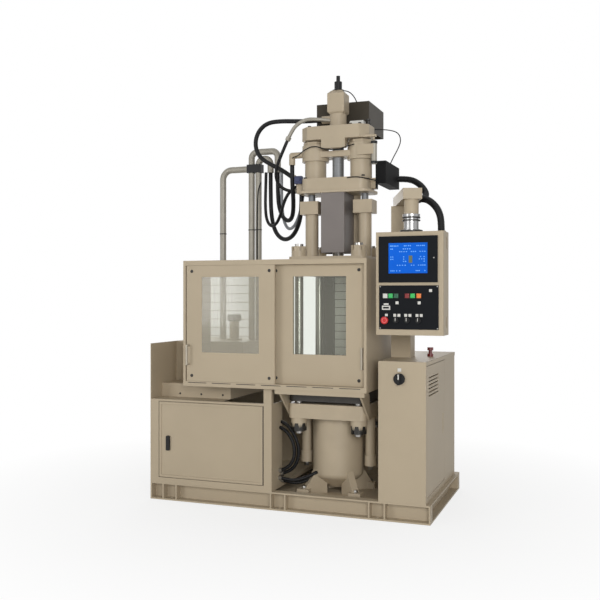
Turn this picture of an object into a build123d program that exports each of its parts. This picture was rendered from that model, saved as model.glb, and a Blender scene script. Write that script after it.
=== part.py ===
from build123d import *
import os
from math import atan2, degrees, radians, sqrt, tan

# Vertical injection press on a welded base: millimetres, X to the right, front at -Y, floor at Z 0.

# Shared clearances and sheet
overrun = 30.0
seat_gap = 0.3
sheet = 4.0

# Base frame
base_width = 1650.0
base_depth = 888.0
base_height = 100.0
channel_depth = 55.0
channel_wall = 9.0
rib_thickness = 9.0
rib_spacing = 85.0
rib_place_shares = (-0.424, -0.015, 0.326)
anchor_radius = 9.0
member_width = 100.0
member_place_shares = (-0.3, 0.0, 0.14, 0.28)
deck_thickness = 12.0
deck_top = 62.0
control_width = 254.0
control_right_inset = 23.0
bay_width = 608.0
base_left = -base_width / 2
base_front = -base_depth / 2
control_right = -base_left - control_right_inset
control_left = control_right - control_width

# Hydraulic cabinet and tank cover
cabinet_height = 485.0
cabinet_rear_inset = 44.0
cabinet_stile_left = 55.0
cabinet_stile_right = 48.0
cabinet_sill = 30.0
cabinet_head = 12.0
cabinet_frame_depth = 30.0
bay_open_front = 160.0
bay_open_rear = 60.0
bay_open_sill = 24.0
bay_open_head = 30.0
cabinet_door_thickness = 12.0
door_gap = 3.0
hinge_pin_radius = 3.0
hinge_pin_reach = 6.0
tank_width = 455.0
tank_height = 322.0
tank_setback = 305.0
step_setback = 130.0
step_height = 80.0
cabinet_latch_width = 24.0
cabinet_latch_height = 86.0
cabinet_latch_depth = 10.0
cabinet_latch_inset = 62.0
cabinet_latch_height_share = 0.455
latch_pin_radius = 7.0
door_skin_lip = 14.0
door_skin_recess = 3.0
cabinet_right = control_left - bay_width
cabinet_rear = -base_front - cabinet_rear_inset
cabinet_top = base_height + cabinet_height
tank_top = cabinet_top + tank_height
tank_front = base_front + tank_setback
tank_right = base_left + tank_width

# Pump and motor
motor_radius = 105.0
motor_length = 280.0
motor_fin_count = 7
motor_fin_width = 10.0
motor_fin_depth = 9.0
motor_foot_height = 45.0
motor_foot_width = 150.0
pump_radius = 62.0
pump_length = 140.0
motor_x_share = 0.5
motor_front_setback = 240.0

# Press: main cylinder, platens and tie bars
press_inset = 286.0
press_setback = 314.0
cylinder_radius = 145.0
cylinder_bottom = 95.0
dome_height = 70.0
dome_crown = 50.0
ram_radius = 100.0
ram_floor = 150.0
foot_size = 70.0
foot_offset = 150.0
foot_top = 98.0
web_root = 80.0
web_top = 200.0
web_thickness = 40.0
platen_half = 225.0
platen_corner = 30.0
bed_bottom = 503.0
bed_top = 584.0
boss_radius = 46.0
boss_drop = 30.0
bar_spacing = 350.0
bar_radius = 24.0
bar_overhang = 14.0
nut_radius = 43.0
nut_height_low = 45.0
nut_height_high = 58.0
nut_slot_width = 12.0
nut_slot_depth = 12.0
nut_slot_count = 6
nut_slot_share = 0.45
jack_offset = 192.0
jack_radius = 28.0
jack_bottom = 222.0
jack_foot_radius = 33.0
jack_foot_height = 60.0
jack_rod_radius = 12.0
jack_rod_floor = 240.0
open_gap = 14.0
moving_thickness = 70.0
moving_inset = 3.0
plate_half_x = 145.0
plate_half_y = 200.0
lower_plate_thickness = 50.0
upper_plate_thickness = 40.0
upper_plate_bottom = 1296.0
upper_platen_thickness = 69.0
plate_bolt_radius = 7.0
plate_bolt_depth = 30.0
plate_bolt_x = 100.0
plate_bolt_y = 150.0
nozzle_hole_radius = 45.0
press_x = cabinet_right + press_inset
press_y = base_front + press_setback
boss_bottom = bed_bottom - boss_drop
moving_bottom = bed_top + open_gap
moving_top = moving_bottom + moving_thickness
lower_plate_top = moving_top + lower_plate_thickness
upper_platen_bottom = upper_plate_bottom + upper_plate_thickness
upper_platen_top = upper_platen_bottom + upper_platen_thickness

# Guard with two sliding doors
guard_width = 1084.0
guard_overhang = 43.0
guard_lift = 87.0
guard_cover = 49.0
guard_proud = 36.0
guard_depth = 90.0
guard_rail = 28.0
guard_post = 15.0
beam_height = 24.0
beam_overhang = 30.0
beam_setback = 4.0
bracket_thickness = 10.0
bracket_toe = 18.0
bracket_hold = 55.0
guard_side_bracket = 40.0
door_thickness = 18.0
front_track = 2.0
rear_track = 44.0
door_width = 540.0
door_end_gap = 7.0
door_run_gap = 0.5
window_thickness = 4.0
left_window_inset_left = 95.0
left_window_inset_right = 94.0
right_window_inset_left = 132.0
right_window_inset_right = 104.0
window_bottom_inset = 165.0
window_top_inset = 65.0
grille_pitch = 50.0
grille_bar = 3.0
handle_bar = 10.0
handle_height = 116.0
handle_inset = 13.0
handle_bottom_inset = 92.0
left_handle_reach = 30.0
right_handle_reach = 20.0
guard_right = press_x + platen_half + guard_overhang
guard_left = guard_right - guard_width
guard_front = base_front - guard_proud
guard_bottom = cabinet_top + guard_lift
guard_top = upper_platen_bottom + guard_cover
rail_low = guard_bottom + guard_rail
rail_high = guard_top - guard_rail

# Cylinders that lift the injection unit
lift_offset = 160.0
lift_radius = 38.0
lift_top = 1655.0
lift_cap = 110.0
lift_cap_height = 75.0
lift_rod_radius = 20.0
lift_rod_floor = 1460.0
lift_cap_top = lift_top + lift_cap_height

# Injection unit
unit_gap = 40.0
unit_half_x = 196.0
unit_half_y = 105.0
unit_thickness = 85.0
unit_round = 50.0
unit_flange_height = 14.0
flange_grow_x = 19.0
flange_grow_y = 9.0
plunger_radius = 33.0
barrel_radius = 60.0
barrel_bottom = 1440.0
nozzle_radius = 17.0
nozzle_root_radius = 36.0
nozzle_drop = 102.0
plunger_floor = 1500.0
cover_half = 69.0
cover_front_reach = 105.0
cover_rear_reach = 85.0
cover_bottom = 1430.0
cover_sheet = 3.0
shield_half = 110.0
shot_offset = 137.0
shot_radius = 62.0
shot_height = 105.0
shot_rod_radius = 22.0
shot_rod_floor_share = 0.25
yoke_half_x = 215.0
yoke_half_y = 100.0
yoke_thickness = 92.0
yoke_waist_share = 0.62
yoke_beam_raise = 19.0
yoke_beam_height = 33.0
collar_radius = 71.0
collar_height = 19.0
head_gap = 23.0
unit_bottom = lift_cap_top + unit_gap
unit_top = unit_bottom + unit_thickness
yoke_bottom = unit_top + shot_height
yoke_top = yoke_bottom + yoke_thickness

# Crosshead and feed motor
head_half_x = 200.0
head_half_y = 100.0
head_thickness = 75.0
head_chamfer = 45.0
coupling_radius = 60.0
coupling_height = 19.0
front_block_half = 71.0
front_block_depth = 34.0
front_block_drop = 53.0
neck_radius = 48.0
neck_height = 79.0
feed_size = 100.0
feed_height = 135.0
feed_chamfer = 20.0
encoder_base_radius = 22.0
encoder_base_height = 53.0
encoder_radius = 11.0
encoder_height = 34.0
hood_width = 320.0
hood_front = 85.0
hood_depth = 330.0
hood_height = 165.0
hood_sheet = 3.0
head_bottom = yoke_top + head_gap
head_top = head_bottom + head_thickness
feed_bottom = head_top + neck_height
feed_top = feed_bottom + feed_height

# Stroke sensor, junction box and hose fittings
sensor_radius = 16.0
sensor_offset_y = 70.0
sensor_length = 130.0
sensor_bore = 122.0
sensor_rod_clear = 6.0
sensor_clamp = 18.0
sensor_rod_radius = 4.0
sensor_link = 12.0
box_width = 60.0
box_depth = 320.0
box_height = 127.0
box_stand = 26.0
box_raise = 53.0
box_bracket_height = 60.0
box_bracket_depth = 55.0
box_wall = 3.0
fitting_radius = 22.0
fitting_length = 48.0
fitting_drop = 25.0
tip_reach = 98.0
tip_back = 42.0
tip_rise = 29.0
tip_run = 54.0
tip_fall = 42.0
valve_size = 60.0
valve_reach = 60.0
port_reach = 63.0
port_offset_y = 15.0
port_radius = 18.0
port_drop = 56.0
clip_length = 24.0
clip_height = 34.0
clip_gap = 4.4
clip_place = 120.0

# Oil pipes
pipe_rear_inset = 250.0
pipe_radius = 20.0
pipe_inset = 23.0
pipe_pitch = 47.0
pipe_near_span = 83.0
pipe_far_span = 178.0
pipe_near_top = 2050.0
pipe_far_top = 2095.0
pipe_end = 1960.0
pipe_bend = 38.0
drain_inset = 184.0
drain_top = 1990.0
drain_bend = 60.0
strap_height = 26.0
strap_thickness = 5.0
pipe_y = cabinet_rear - pipe_rear_inset
pipe_near_x = tank_right - pipe_inset
pipe_far_x = pipe_near_x - pipe_pitch
drain_x = base_left + drain_inset

# Control cabinet
control_height = 742.0
control_rear_inset = 44.0
side_door_front = 26.0
side_door_width = 500.0
side_door_sill = 30.0
side_door_head = 22.0
side_door_thickness = 12.0
louvre_count = 6
louvre_height = 7.0
louvre_pitch = 19.0
louvre_length = 270.0
louvre_front = 36.0
louvre_top = 60.0
side_latch_length = 114.0
side_latch_width = 20.0
side_latch_depth = 4.0
side_latch_inset = 44.0
side_latch_height_share = 0.48
switch_radius = 30.0
switch_depth = 12.0
switch_grip = 14.0
switch_grip_depth = 16.0
switch_x_share = 0.45
switch_drop = 91.0
beacon_radius = 17.0
beacon_height = 52.0
beacon_waist_share = 0.6
beacon_inset_x = 62.0
beacon_setback = 419.0
control_rear = -base_front - control_rear_inset
control_top = base_height + control_height
beacon_y = base_front + beacon_setback

# Operator panel on its arm
pillar_inset = 52.0
pillar_setback = 344.0
pillar_half = 55.0
arm_width = 98.0
arm_height = 56.0
arm_bottom = 1687.0
arm_nose = 50.0
arm_tail = 60.0
swivel_out = 122.0
swivel_forward = 328.0
tube_radius = 38.0
tube_drop = 76.0
swivel_radius = 45.0
swivel_waist = 38.0
swivel_height = 93.0
swivel_band = 14.0
panel_width = 356.0
panel_depth = 145.0
panel_forward = 52.0
panel_height = 536.0
panel_round = 6.0
panel_wall = 4.0
terminal_width = 309.0
terminal_height = 240.0
terminal_proud = 8.0
terminal_drop = 23.0
terminal_shift = -5.5
screen_width = 205.0
screen_height = 158.0
screen_recess = 3.0
screen_raise = 6.0
plate_width = 312.0
plate_height = 228.0
plate_proud = 4.0
plate_raise = 30.0
control_pocket = 12.0
button_size = 24.0
button_proud = 9.0
button_tail = 4.0
button_row_share = 0.263
button_column_shares = (-0.391, -0.298, -0.205, -0.019, 0.074, 0.176)
button_names = ("button_white", "button_green", "button_dark_green",
                "button_red", "button_start", "button_orange")
knob_row_share = -0.294
stop_column_share = -0.394
knob_column_shares = (-0.212, -0.026, 0.163)
stem_radius = 10.0
stop_radius = 19.0
stop_height = 20.0
stop_neck = 8.0
knob_radius = 14.0
knob_height = 16.0
knob_grip = 7.0
pillar_x = control_left + pillar_inset
pillar_y = base_front + pillar_setback
swivel_x = pillar_x + swivel_out
swivel_y = pillar_y - swivel_forward
arm_top = arm_bottom + arm_height
tube_bottom = arm_bottom - tube_drop
panel_top = tube_bottom - seat_gap - swivel_height
panel_bottom = panel_top - panel_height
panel_front = swivel_y - panel_forward
plate_centre_z = panel_bottom + plate_raise + plate_height / 2

# Cords: diameters and hand-chosen routes
hose_radius = 13.0
conduit_radius = 19.0
bend_share = 0.45
arc_route = [
    (130, -130, 2204), (40, -130, 2204), (-50, -126, 2212), (-140, -119, 2220), (-217, -112, 2218),
    (-273, -106, 2186), (-305, -101, 2130), (-305, -97, 2066), (-273, -93, 2010), (-203, -90, 1968),
    (-122, -88, 1926), (-68, -88, 1884),
]
supply_route = [
    (-310, 150, 1960), (-310, 150, 1820), (-303, 143, 1690), (-268, 116, 1585), (-195, 66, 1528),
    (-115, 5, 1535), (-50, -55, 1590), (-10, -100, 1680), (-10, -100, 1784),
]
return_route = [
    (-262, 150, 1960), (-262, 150, 1850), (-250, 138, 1740), (-205, 100, 1665), (-145, 45, 1640),
    (-95, -20, 1665), (-66, -85, 1745), (-52, -145, 1850), (-52, -145, 1950),
]
upper_conduit_route = [
    (508, 150, 1880), (578, 150, 1880), (643, 138, 1845), (690, 95, 1790), (705, 15, 1748),
    (679, -103, 1719), (710, -187, 1715),
]
lower_conduit_route = [
    (710, -187, 1715), (730.46, -242.44, 1712.36), (775, -288, 1702), (812, -322, 1678), (848, -351, 1638),
    (867, -366, 1584), (867, -366, 1526),
]
gland_radius = 24.0
gland_height = 8.0
gland_out = 145.0
gland_back = 62.0


def block(low, high):
    """Box between two opposite corners."""
    size = [b - a for a, b in zip(low, high)]
    middle = [(a + b) / 2 for a, b in zip(low, high)]
    return Pos(*middle) * Box(*size)


def slab(half_x, half_y, bottom, top):
    """Box centred on the axis of the press."""
    return block((press_x - half_x, press_y - half_y, bottom), (press_x + half_x, press_y + half_y, top))


def rod(x, y, bottom, top, radius):
    """Upright round bar."""
    return Pos(x, y, (bottom + top) / 2) * Cylinder(radius, top - bottom)


def rod_x(y, z, left, right, radius):
    """Round bar along X."""
    return Pos((left + right) / 2, y, z) * Rot(0, 90, 0) * Cylinder(radius, right - left)


def rod_y(x, z, front, rear, radius):
    """Round bar along Y."""
    return Pos(x, (front + rear) / 2, z) * Rot(90, 0, 0) * Cylinder(radius, rear - front)


def bar_between(start, end, radius):
    """Round bar between two points."""
    run = Vector(*end) - Vector(*start)
    return extrude(Plane(origin=start, z_dir=run) * Circle(radius), amount=run.length)


def core(bottom, top, radius):
    """Upright round bar on the axis of the press."""
    return rod(press_x, press_y, bottom, top, radius)


def hinge_pins(x, y, low, high):
    """Two short pins above and below a door, on its hinge axis."""
    reach = door_gap + hinge_pin_reach
    return rod(x, y, low - reach, low, hinge_pin_radius) + rod(x, y, high, high + reach, hinge_pin_radius)


def at_press(offset_x, offset_y):
    """Place measured from the axis of the press."""
    return press_x + offset_x, press_y + offset_y


def pair_x(offset):
    """Two places either side of the press axis."""
    return [at_press(side * offset, 0) for side in (-1, 1)]


def bar_places():
    """Four places of the tie bars."""
    half = bar_spacing / 2
    return [at_press(sx * half, sy * half) for sx in (-1, 1) for sy in (-1, 1)]


def tube_along(points, radius):
    """Cord of straight runs and large tangent arcs, with its bend radii printed."""
    stops = [Vector(*point) for point in points]
    bends = []
    for before, here, after in zip(stops, stops[1:], stops[2:]):
        arriving = here - before
        leaving = after - here
        turn = arriving.get_angle(leaving)
        bends.append(bend_share * min(arriving.length, leaving.length) / tan(radians(turn / 2)))
    path = FilletPolyline(*stops, radius=bends)
    print("bend radii", [round(bend) for bend in bends], "length", round(path.length))
    return sweep(Plane(origin=path @ 0, z_dir=path % 0) * Circle(radius), path=path)


def pipe_along(points, bend, radius):
    """Bent steel pipe."""
    path = FilletPolyline(*points, radius=bend)
    return sweep(Plane(origin=path @ 0, z_dir=path % 0) * Circle(radius), path=path)


def base_frame():
    """Channel ring open to the outside, with paired ribs, cross members and a deck plate."""
    inner_x = base_width / 2 - channel_depth
    inner_y = base_depth / 2 - channel_depth
    ring = block((base_left, base_front, 0), (-base_left, -base_front, base_height))
    ring -= block((-inner_x, -inner_y, -overrun), (inner_x, inner_y, base_height + overrun))
    web = channel_depth - channel_wall
    low, high = channel_wall, base_height - channel_wall
    for side in (-1, 1):
        edge_y = side * base_depth / 2
        edge_x = side * base_width / 2
        span_x = base_width / 2 - channel_wall
        span_y = base_depth / 2 - channel_wall - web
        near_y, far_y = sorted((edge_y, edge_y - side * web))
        near_x, far_x = sorted((edge_x, edge_x - side * web))
        ring -= block((-span_x, near_y, low), (span_x, far_y, high))
        ring -= block((near_x, -span_y, low), (far_x, span_y, high))
    for share in rib_place_shares:
        for side in (-1, 1):
            edge_y = side * base_depth / 2
            near_y, far_y = sorted((edge_y, edge_y - side * web))
            centre = share * base_width
            for shift in (-rib_spacing / 2, rib_spacing / 2):
                left = centre + shift - rib_thickness / 2
                ring += block((left, near_y, low), (left + rib_thickness, far_y, high))
            ring -= rod(centre, edge_y - side * channel_depth / 2, -overrun, low + overrun, anchor_radius)
    for share in member_place_shares:
        left = share * base_width - member_width / 2
        ring += block((left, -inner_y, 0), (left + member_width, inner_y, deck_top - deck_thickness))
    ring += block((-inner_x, -inner_y, deck_top - deck_thickness), (inner_x, inner_y, deck_top))
    return [ring]


def hinge_holes(x, y, low, high):
    """Seats of a door's hinge pins, as one bar to cut away."""
    reach = door_gap + hinge_pin_reach + seat_gap
    return rod(x, y, low - reach, high + reach, hinge_pin_radius + seat_gap)


def cabinet_hinge():
    """Hinge axis of the cabinet door, with the door's lower and upper edge."""
    half = cabinet_door_thickness / 2
    return (cabinet_right - cabinet_stile_right - door_gap - half, base_front + half,
            base_height + cabinet_sill + door_gap, cabinet_top - cabinet_head - door_gap)


def hydraulic_cabinet():
    """Sheet panels with door frame, open well, a wall open to the bay, guard post and the back of the bay."""
    left, right, front, rear = base_left, cabinet_right, base_front, cabinet_rear
    low, high = base_height, cabinet_top
    inner_low, inner_high = low + sheet, high - sheet
    frame_rear = front + cabinet_frame_depth
    opening_left = left + cabinet_stile_left
    opening_right = right - cabinet_stile_right
    pins = hinge_holes(*cabinet_hinge())
    bay_front, bay_rear = front + bay_open_front, rear - bay_open_rear
    bay_low, bay_high = low + bay_open_sill, high - bay_open_head
    return [
        block((left, front, low), (left + sheet, rear, high)),
        block((right - sheet, front, low), (right, bay_front, high)),
        block((right - sheet, bay_rear, low), (right, rear, high)),
        block((right - sheet, bay_front, low), (right, bay_rear, bay_low)),
        block((right - sheet, bay_front, bay_high), (right, bay_rear, high)),
        block((left + sheet, rear - sheet, low), (right - sheet, rear, high)),
        block((left + sheet, front, low), (right - sheet, rear - sheet, inner_low)),
        block((left + sheet, front, inner_high), (tank_right, rear - sheet, high)),
        block((tank_right, front, inner_high), (right - sheet, frame_rear, high)),
        block((opening_right, front, high), (right, frame_rear, guard_bottom)),
        block((right, rear - sheet, low), (control_left, rear, guard_bottom)),
        block((left + sheet, front, inner_low), (opening_left, frame_rear, inner_high)),
        block((opening_right, front, inner_low), (right - sheet, frame_rear, inner_high)),
        block((opening_left, front, inner_low), (opening_right, frame_rear, low + cabinet_sill)) - pins,
        block((opening_left, front, high - cabinet_head), (opening_right, frame_rear, inner_high)) - pins,
    ]


def cabinet_door():
    """Pan door with a shallow recess in its face, a round hinge edge and two hinge pins."""
    hinge_x, hinge_y, low, high = cabinet_hinge()
    left = base_left + cabinet_stile_left + door_gap
    right = hinge_x
    rear = base_front + cabinet_door_thickness
    door = block((left, base_front, low), (right, rear, high))
    door += rod(hinge_x, hinge_y, low, high, cabinet_door_thickness / 2)
    door += hinge_pins(hinge_x, hinge_y, low, high)
    door -= block((left + door_skin_lip, base_front - overrun, low + door_skin_lip),
                  (right - door_skin_lip, base_front + door_skin_recess, high - door_skin_lip))
    pin_x, pin_z = latch_place()
    door -= rod_y(pin_x, pin_z, base_front - overrun, rear + overrun, latch_pin_radius + seat_gap)
    return [door]


def latch_place():
    """Turning axis of the cabinet latch."""
    low = base_height + cabinet_sill
    high = cabinet_top - cabinet_head
    x = base_left + cabinet_stile_left + cabinet_latch_inset
    return x, low + cabinet_latch_height_share * (high - low)


def cabinet_latch():
    """Lever on a pin through the door."""
    x, z = latch_place()
    face = base_front + door_skin_recess - seat_gap
    lever = block((x - cabinet_latch_width / 2, face - cabinet_latch_depth, z - cabinet_latch_height / 2),
                  (x + cabinet_latch_width / 2, face, z + cabinet_latch_height / 2))
    lever = fillet(lever.edges().filter_by(Axis.Y), cabinet_latch_width / 3)
    lever += rod_y(x, z, face, base_front + cabinet_door_thickness, latch_pin_radius)
    return [lever]


def tank_cover():
    """Tall cover set back behind the guard, a low step before it and its left wall carried forward."""
    left, right, front, rear = base_left, tank_right, tank_front, cabinet_rear
    low, high = cabinet_top, tank_top
    step_front, step_top = base_front + step_setback, low + step_height
    step = block((left + sheet, step_front, low), (right, front, step_top))
    step -= block((left, step_front + sheet, low - overrun),
                  (right - sheet, front + overrun, step_top - sheet))
    return [
        step,
        block((left, base_front, low), (left + sheet, rear, high)),
        block((left + sheet, front, low), (right, front + sheet, high)),
        block((right - sheet, front + sheet, low), (right, rear, high)),
        block((left + sheet, rear - sheet, low), (right - sheet, rear, high)),
        block((left + sheet, front + sheet, high - sheet), (right - sheet, rear - sheet, high)),
    ]


def pump_motor():
    """Finned motor on a foot, with the pump on its front end."""
    x = base_left + motor_x_share * (cabinet_right - base_left)
    floor = base_height + sheet
    z = floor + motor_foot_height + motor_radius
    front = base_front + motor_front_setback
    rear = front + motor_length
    motor = rod_y(x, z, front, rear, motor_radius)
    pitch = motor_length / (motor_fin_count + 1)
    for index in range(motor_fin_count):
        groove = front + (index + 1) * pitch
        ring = rod_y(x, z, groove - motor_fin_width / 2, groove + motor_fin_width / 2, motor_radius + overrun)
        root = motor_radius - motor_fin_depth
        ring -= rod_y(x, z, groove - motor_fin_width, groove + motor_fin_width, root)
        motor -= ring
    half = motor_foot_width / 2
    motor += block((x - half, front, floor), (x + half, rear, z - motor_radius / 2))
    pump = rod_y(x, z, front - pump_length, front, pump_radius)
    return [motor, pump]


def main_cylinder():
    """Clamp cylinder with a domed bottom, blind bore and four webbed feet."""
    profile = Polyline((0, cylinder_bottom), (dome_crown, cylinder_bottom),
                       (cylinder_radius, cylinder_bottom + dome_height), (cylinder_radius, bed_bottom),
                       (0, bed_bottom), (0, cylinder_bottom))
    body = revolve(Plane.XZ * make_face(profile), axis=Axis.Z)
    body = fillet(body.edges().filter_by(GeomType.CIRCLE).sort_by(Axis.Z)[1], dome_height / 2)
    body = Pos(press_x, press_y, 0) * body
    foot_reach = foot_offset * sqrt(2)
    outline = Polyline((web_root, deck_top), (foot_reach, deck_top), (foot_reach, foot_top),
                       (cylinder_radius, web_top), (web_root, web_top), (web_root, deck_top))
    web = extrude(Plane.XZ * make_face(outline), amount=web_thickness / 2, both=True)
    for sx in (-1, 1):
        for sy in (-1, 1):
            x, y = at_press(sx * foot_offset, sy * foot_offset)
            half = foot_size / 2
            body += block((x - half, y - half, deck_top), (x + half, y + half, foot_top))
            body += Pos(press_x, press_y, 0) * Rot(0, 0, degrees(atan2(sy, sx))) * web
    body -= core(ram_floor - seat_gap, bed_bottom + overrun, ram_radius + seat_gap)
    return [body]


def platen(half, bottom, top):
    """Square platen with rounded corners and four tie bar holes."""
    plate = slab(half, half, bottom, top)
    plate = fillet(plate.edges().filter_by(Axis.Z), platen_corner)
    for x, y in bar_places():
        plate -= rod(x, y, bottom - overrun, top + overrun, bar_radius + seat_gap)
    return plate


def bed_platen():
    """Fixed bed over the clamp cylinder with corner bosses, bored for the ram and the jack rods."""
    bed = platen(platen_half, bed_bottom, bed_top)
    for x, y in bar_places():
        bed += rod(x, y, boss_bottom, bed_bottom, boss_radius)
        bed -= rod(x, y, boss_bottom - overrun, bed_top + overrun, bar_radius + seat_gap)
    bed -= core(bed_bottom - overrun, bed_top + overrun, ram_radius + seat_gap)
    for x, y in pair_x(jack_offset):
        bed -= rod(x, y, bed_bottom - overrun, bed_top + overrun, jack_rod_radius + seat_gap)
    return [bed]


def tie_bars():
    """Four round bars through the bed and the upper platen."""
    low = boss_bottom - nut_height_low - bar_overhang
    high = upper_platen_top + nut_height_high + bar_overhang
    return [rod(x, y, low, high, bar_radius) for x, y in bar_places()]


def tie_bar_nuts():
    """Castellated round nuts under the bed and over the upper platen."""
    nuts = []
    for x, y in bar_places():
        for low, high, slots_up in ((boss_bottom - nut_height_low, boss_bottom, False),
                                    (upper_platen_top, upper_platen_top + nut_height_high, True)):
            nut = rod(x, y, low, high, nut_radius)
            depth = nut_slot_share * (high - low)
            slot_low, slot_high = (high - depth, high + overrun) if slots_up else (low - overrun, low + depth)
            for index in range(nut_slot_count):
                angle = index * 360 / nut_slot_count
                reach = nut_radius - nut_slot_depth / 2
                slot = Box(nut_slot_depth, nut_slot_width, slot_high - slot_low)
                nut -= Pos(x, y, (slot_low + slot_high) / 2) * Rot(0, 0, angle) * Pos(reach, 0, 0) * slot
            nuts.append(nut - rod(x, y, low - overrun, high + overrun, bar_radius + seat_gap))
    return nuts


def lift_jacks():
    """Two small cylinders under the bed, beside the clamp cylinder."""
    jacks = []
    for x, y in pair_x(jack_offset):
        jack = rod(x, y, jack_bottom, bed_bottom, jack_radius)
        jack += rod(x, y, jack_bottom, jack_bottom + jack_foot_height, jack_foot_radius)
        bore = rod(x, y, jack_rod_floor - seat_gap, bed_bottom + overrun, jack_rod_radius + seat_gap)
        jacks.append(jack - bore)
    return jacks


def clamp_ram():
    """Main ram and the two jack rods under the moving platen."""
    rams = [core(ram_floor, moving_bottom, ram_radius)]
    return rams + [rod(x, y, jack_rod_floor, moving_bottom, jack_rod_radius) for x, y in pair_x(jack_offset)]


def hot_plate(bottom, top, low, high):
    """Heated plate between the tie bars, with four tapped holes from one height to another."""
    plate = slab(plate_half_x, plate_half_y, bottom, top)
    for sx in (-1, 1):
        for sy in (-1, 1):
            x, y = at_press(sx * plate_bolt_x, sy * plate_bolt_y)
            plate -= rod(x, y, low, high, plate_bolt_radius)
    return plate


def lower_hot_plate():
    """Hot plate on the moving platen, tapped from above."""
    high = lower_plate_top
    return [hot_plate(moving_top, high, high - plate_bolt_depth, high + overrun)]


def upper_hot_plate():
    """Hot plate under the upper platen, tapped from below and pierced for the nozzle."""
    low, high = upper_plate_bottom, upper_platen_bottom
    plate = hot_plate(low, high, low - overrun, low + plate_bolt_depth)
    return [plate - core(low - overrun, high + overrun, nozzle_radius)]


def upper_platen():
    """Fixed upper platen with the nozzle hole."""
    plate = platen(platen_half, upper_platen_bottom, upper_platen_top)
    return [plate - core(upper_platen_bottom - overrun, upper_platen_top + overrun, nozzle_hole_radius)]


def guard_frame():
    """Rails, posts, side sheets, lower beam and brackets of the front guard."""
    rear = guard_front + guard_depth
    platen_left, platen_right = press_x - platen_half, press_x + platen_half
    beam_low = guard_bottom - beam_height
    pieces = [
        block((guard_left, guard_front, guard_bottom), (guard_right, rear, rail_low)),
        block((guard_left, guard_front, rail_high), (guard_right, rear, guard_top)),
        block((guard_left, guard_front, rail_low), (guard_left + guard_post, rear, rail_high)),
        block((guard_right - guard_post, guard_front, rail_low), (guard_right, rear, rail_high)),
        block((guard_right - sheet, rear, guard_bottom), (guard_right, press_y + platen_half, guard_top)),
        block((guard_left, rear, guard_bottom), (guard_left + sheet, tank_front, guard_top)),
        block((platen_left - beam_overhang, guard_front + beam_setback, beam_low),
              (platen_right + beam_overhang, rear, guard_bottom)),
        block((platen_right, press_y - guard_side_bracket / 2, upper_platen_bottom),
              (guard_right - sheet, press_y + guard_side_bracket / 2, guard_top)),
    ]
    toe = guard_front + bracket_toe
    hold = press_y - platen_half + bracket_hold
    outline = make_face(Polyline((hold, bed_bottom), (hold, beam_low), (toe, beam_low), (hold, bed_bottom)))
    gusset = extrude(Plane.YZ * outline, amount=bracket_thickness)
    return pieces + [Pos(x, 0, 0) * gusset for x in (platen_left - bracket_thickness, platen_right)]


def door_box(left, track):
    """Corners of a sliding door in one of the two tracks."""
    front = guard_front + track
    return ((left, front, rail_low + door_run_gap),
            (left + door_width, front + door_thickness, rail_high - door_run_gap))


left_door_left = guard_left + guard_post + door_end_gap
right_door_left = guard_right - guard_post - door_end_gap - door_width


def window_box(left, track, inset_left, inset_right):
    """Corners of a door's window hole."""
    low, high = door_box(left, track)
    return ((low[0] + inset_left, low[1], low[2] + window_bottom_inset),
            (high[0] - inset_right, high[1], high[2] - window_top_inset))


left_window_box = window_box(
    left_door_left, front_track, left_window_inset_left, left_window_inset_right)
right_window_box = window_box(
    right_door_left, rear_track, right_window_inset_left, right_window_inset_right)


def sliding_door(left, track, hole):
    """Door sheet with a window hole."""
    low, high = hole
    through = block((low[0], low[1] - overrun, low[2]), (high[0], high[1] + overrun, high[2]))
    return block(*door_box(left, track)) - through


def left_door():
    """Front door, with a row of thin guard bars behind its window."""
    low, high = left_window_box
    pieces = [sliding_door(left_door_left, front_track, left_window_box)]
    count = int((high[2] - low[2]) / grille_pitch)
    for index in range(count):
        z = low[2] + (index + 1) * (high[2] - low[2]) / (count + 1)
        pieces.append(block((low[0], high[1] - grille_bar, z - grille_bar / 2),
                            (high[0], high[1], z + grille_bar / 2)))
    return pieces


def window_pane(hole):
    """Clear pane in the front half of a window hole."""
    low, high = hole
    return [block(low, (high[0], low[1] + window_thickness, high[2]))]


def door_handle(left, track, at_right, reach):
    """Bent bar handle on a door's face."""
    low, high = door_box(left, track)
    x = high[0] - handle_inset if at_right else low[0] + handle_inset
    bottom = low[2] + handle_bottom_inset
    grip = block((x - handle_bar / 2, low[1] - reach, bottom),
                 (x + handle_bar / 2, low[1], bottom + handle_height))
    gap = block((x - overrun, low[1] - reach + handle_bar, bottom + handle_bar),
                (x + overrun, low[1] + overrun, bottom + handle_height - handle_bar))
    return [grip - gap]


def unit_cylinders():
    """Two upright cylinders with square caps that carry the injection unit."""
    pieces = []
    for x, y in pair_x(lift_offset):
        tube = rod(x, y, upper_platen_top, lift_top, lift_radius)
        half = lift_cap / 2
        cap = block((x - half, y - half, lift_top), (x + half, y + half, lift_cap_top))
        bore = rod(x, y, lift_rod_floor - seat_gap, lift_cap_top + overrun, lift_rod_radius + seat_gap)
        pieces.append(tube + cap - bore)
    return pieces


def unit_rods():
    """Rods that lift the injection unit."""
    return [rod(x, y, lift_rod_floor, unit_bottom, lift_rod_radius) for x, y in pair_x(lift_offset)]


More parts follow.
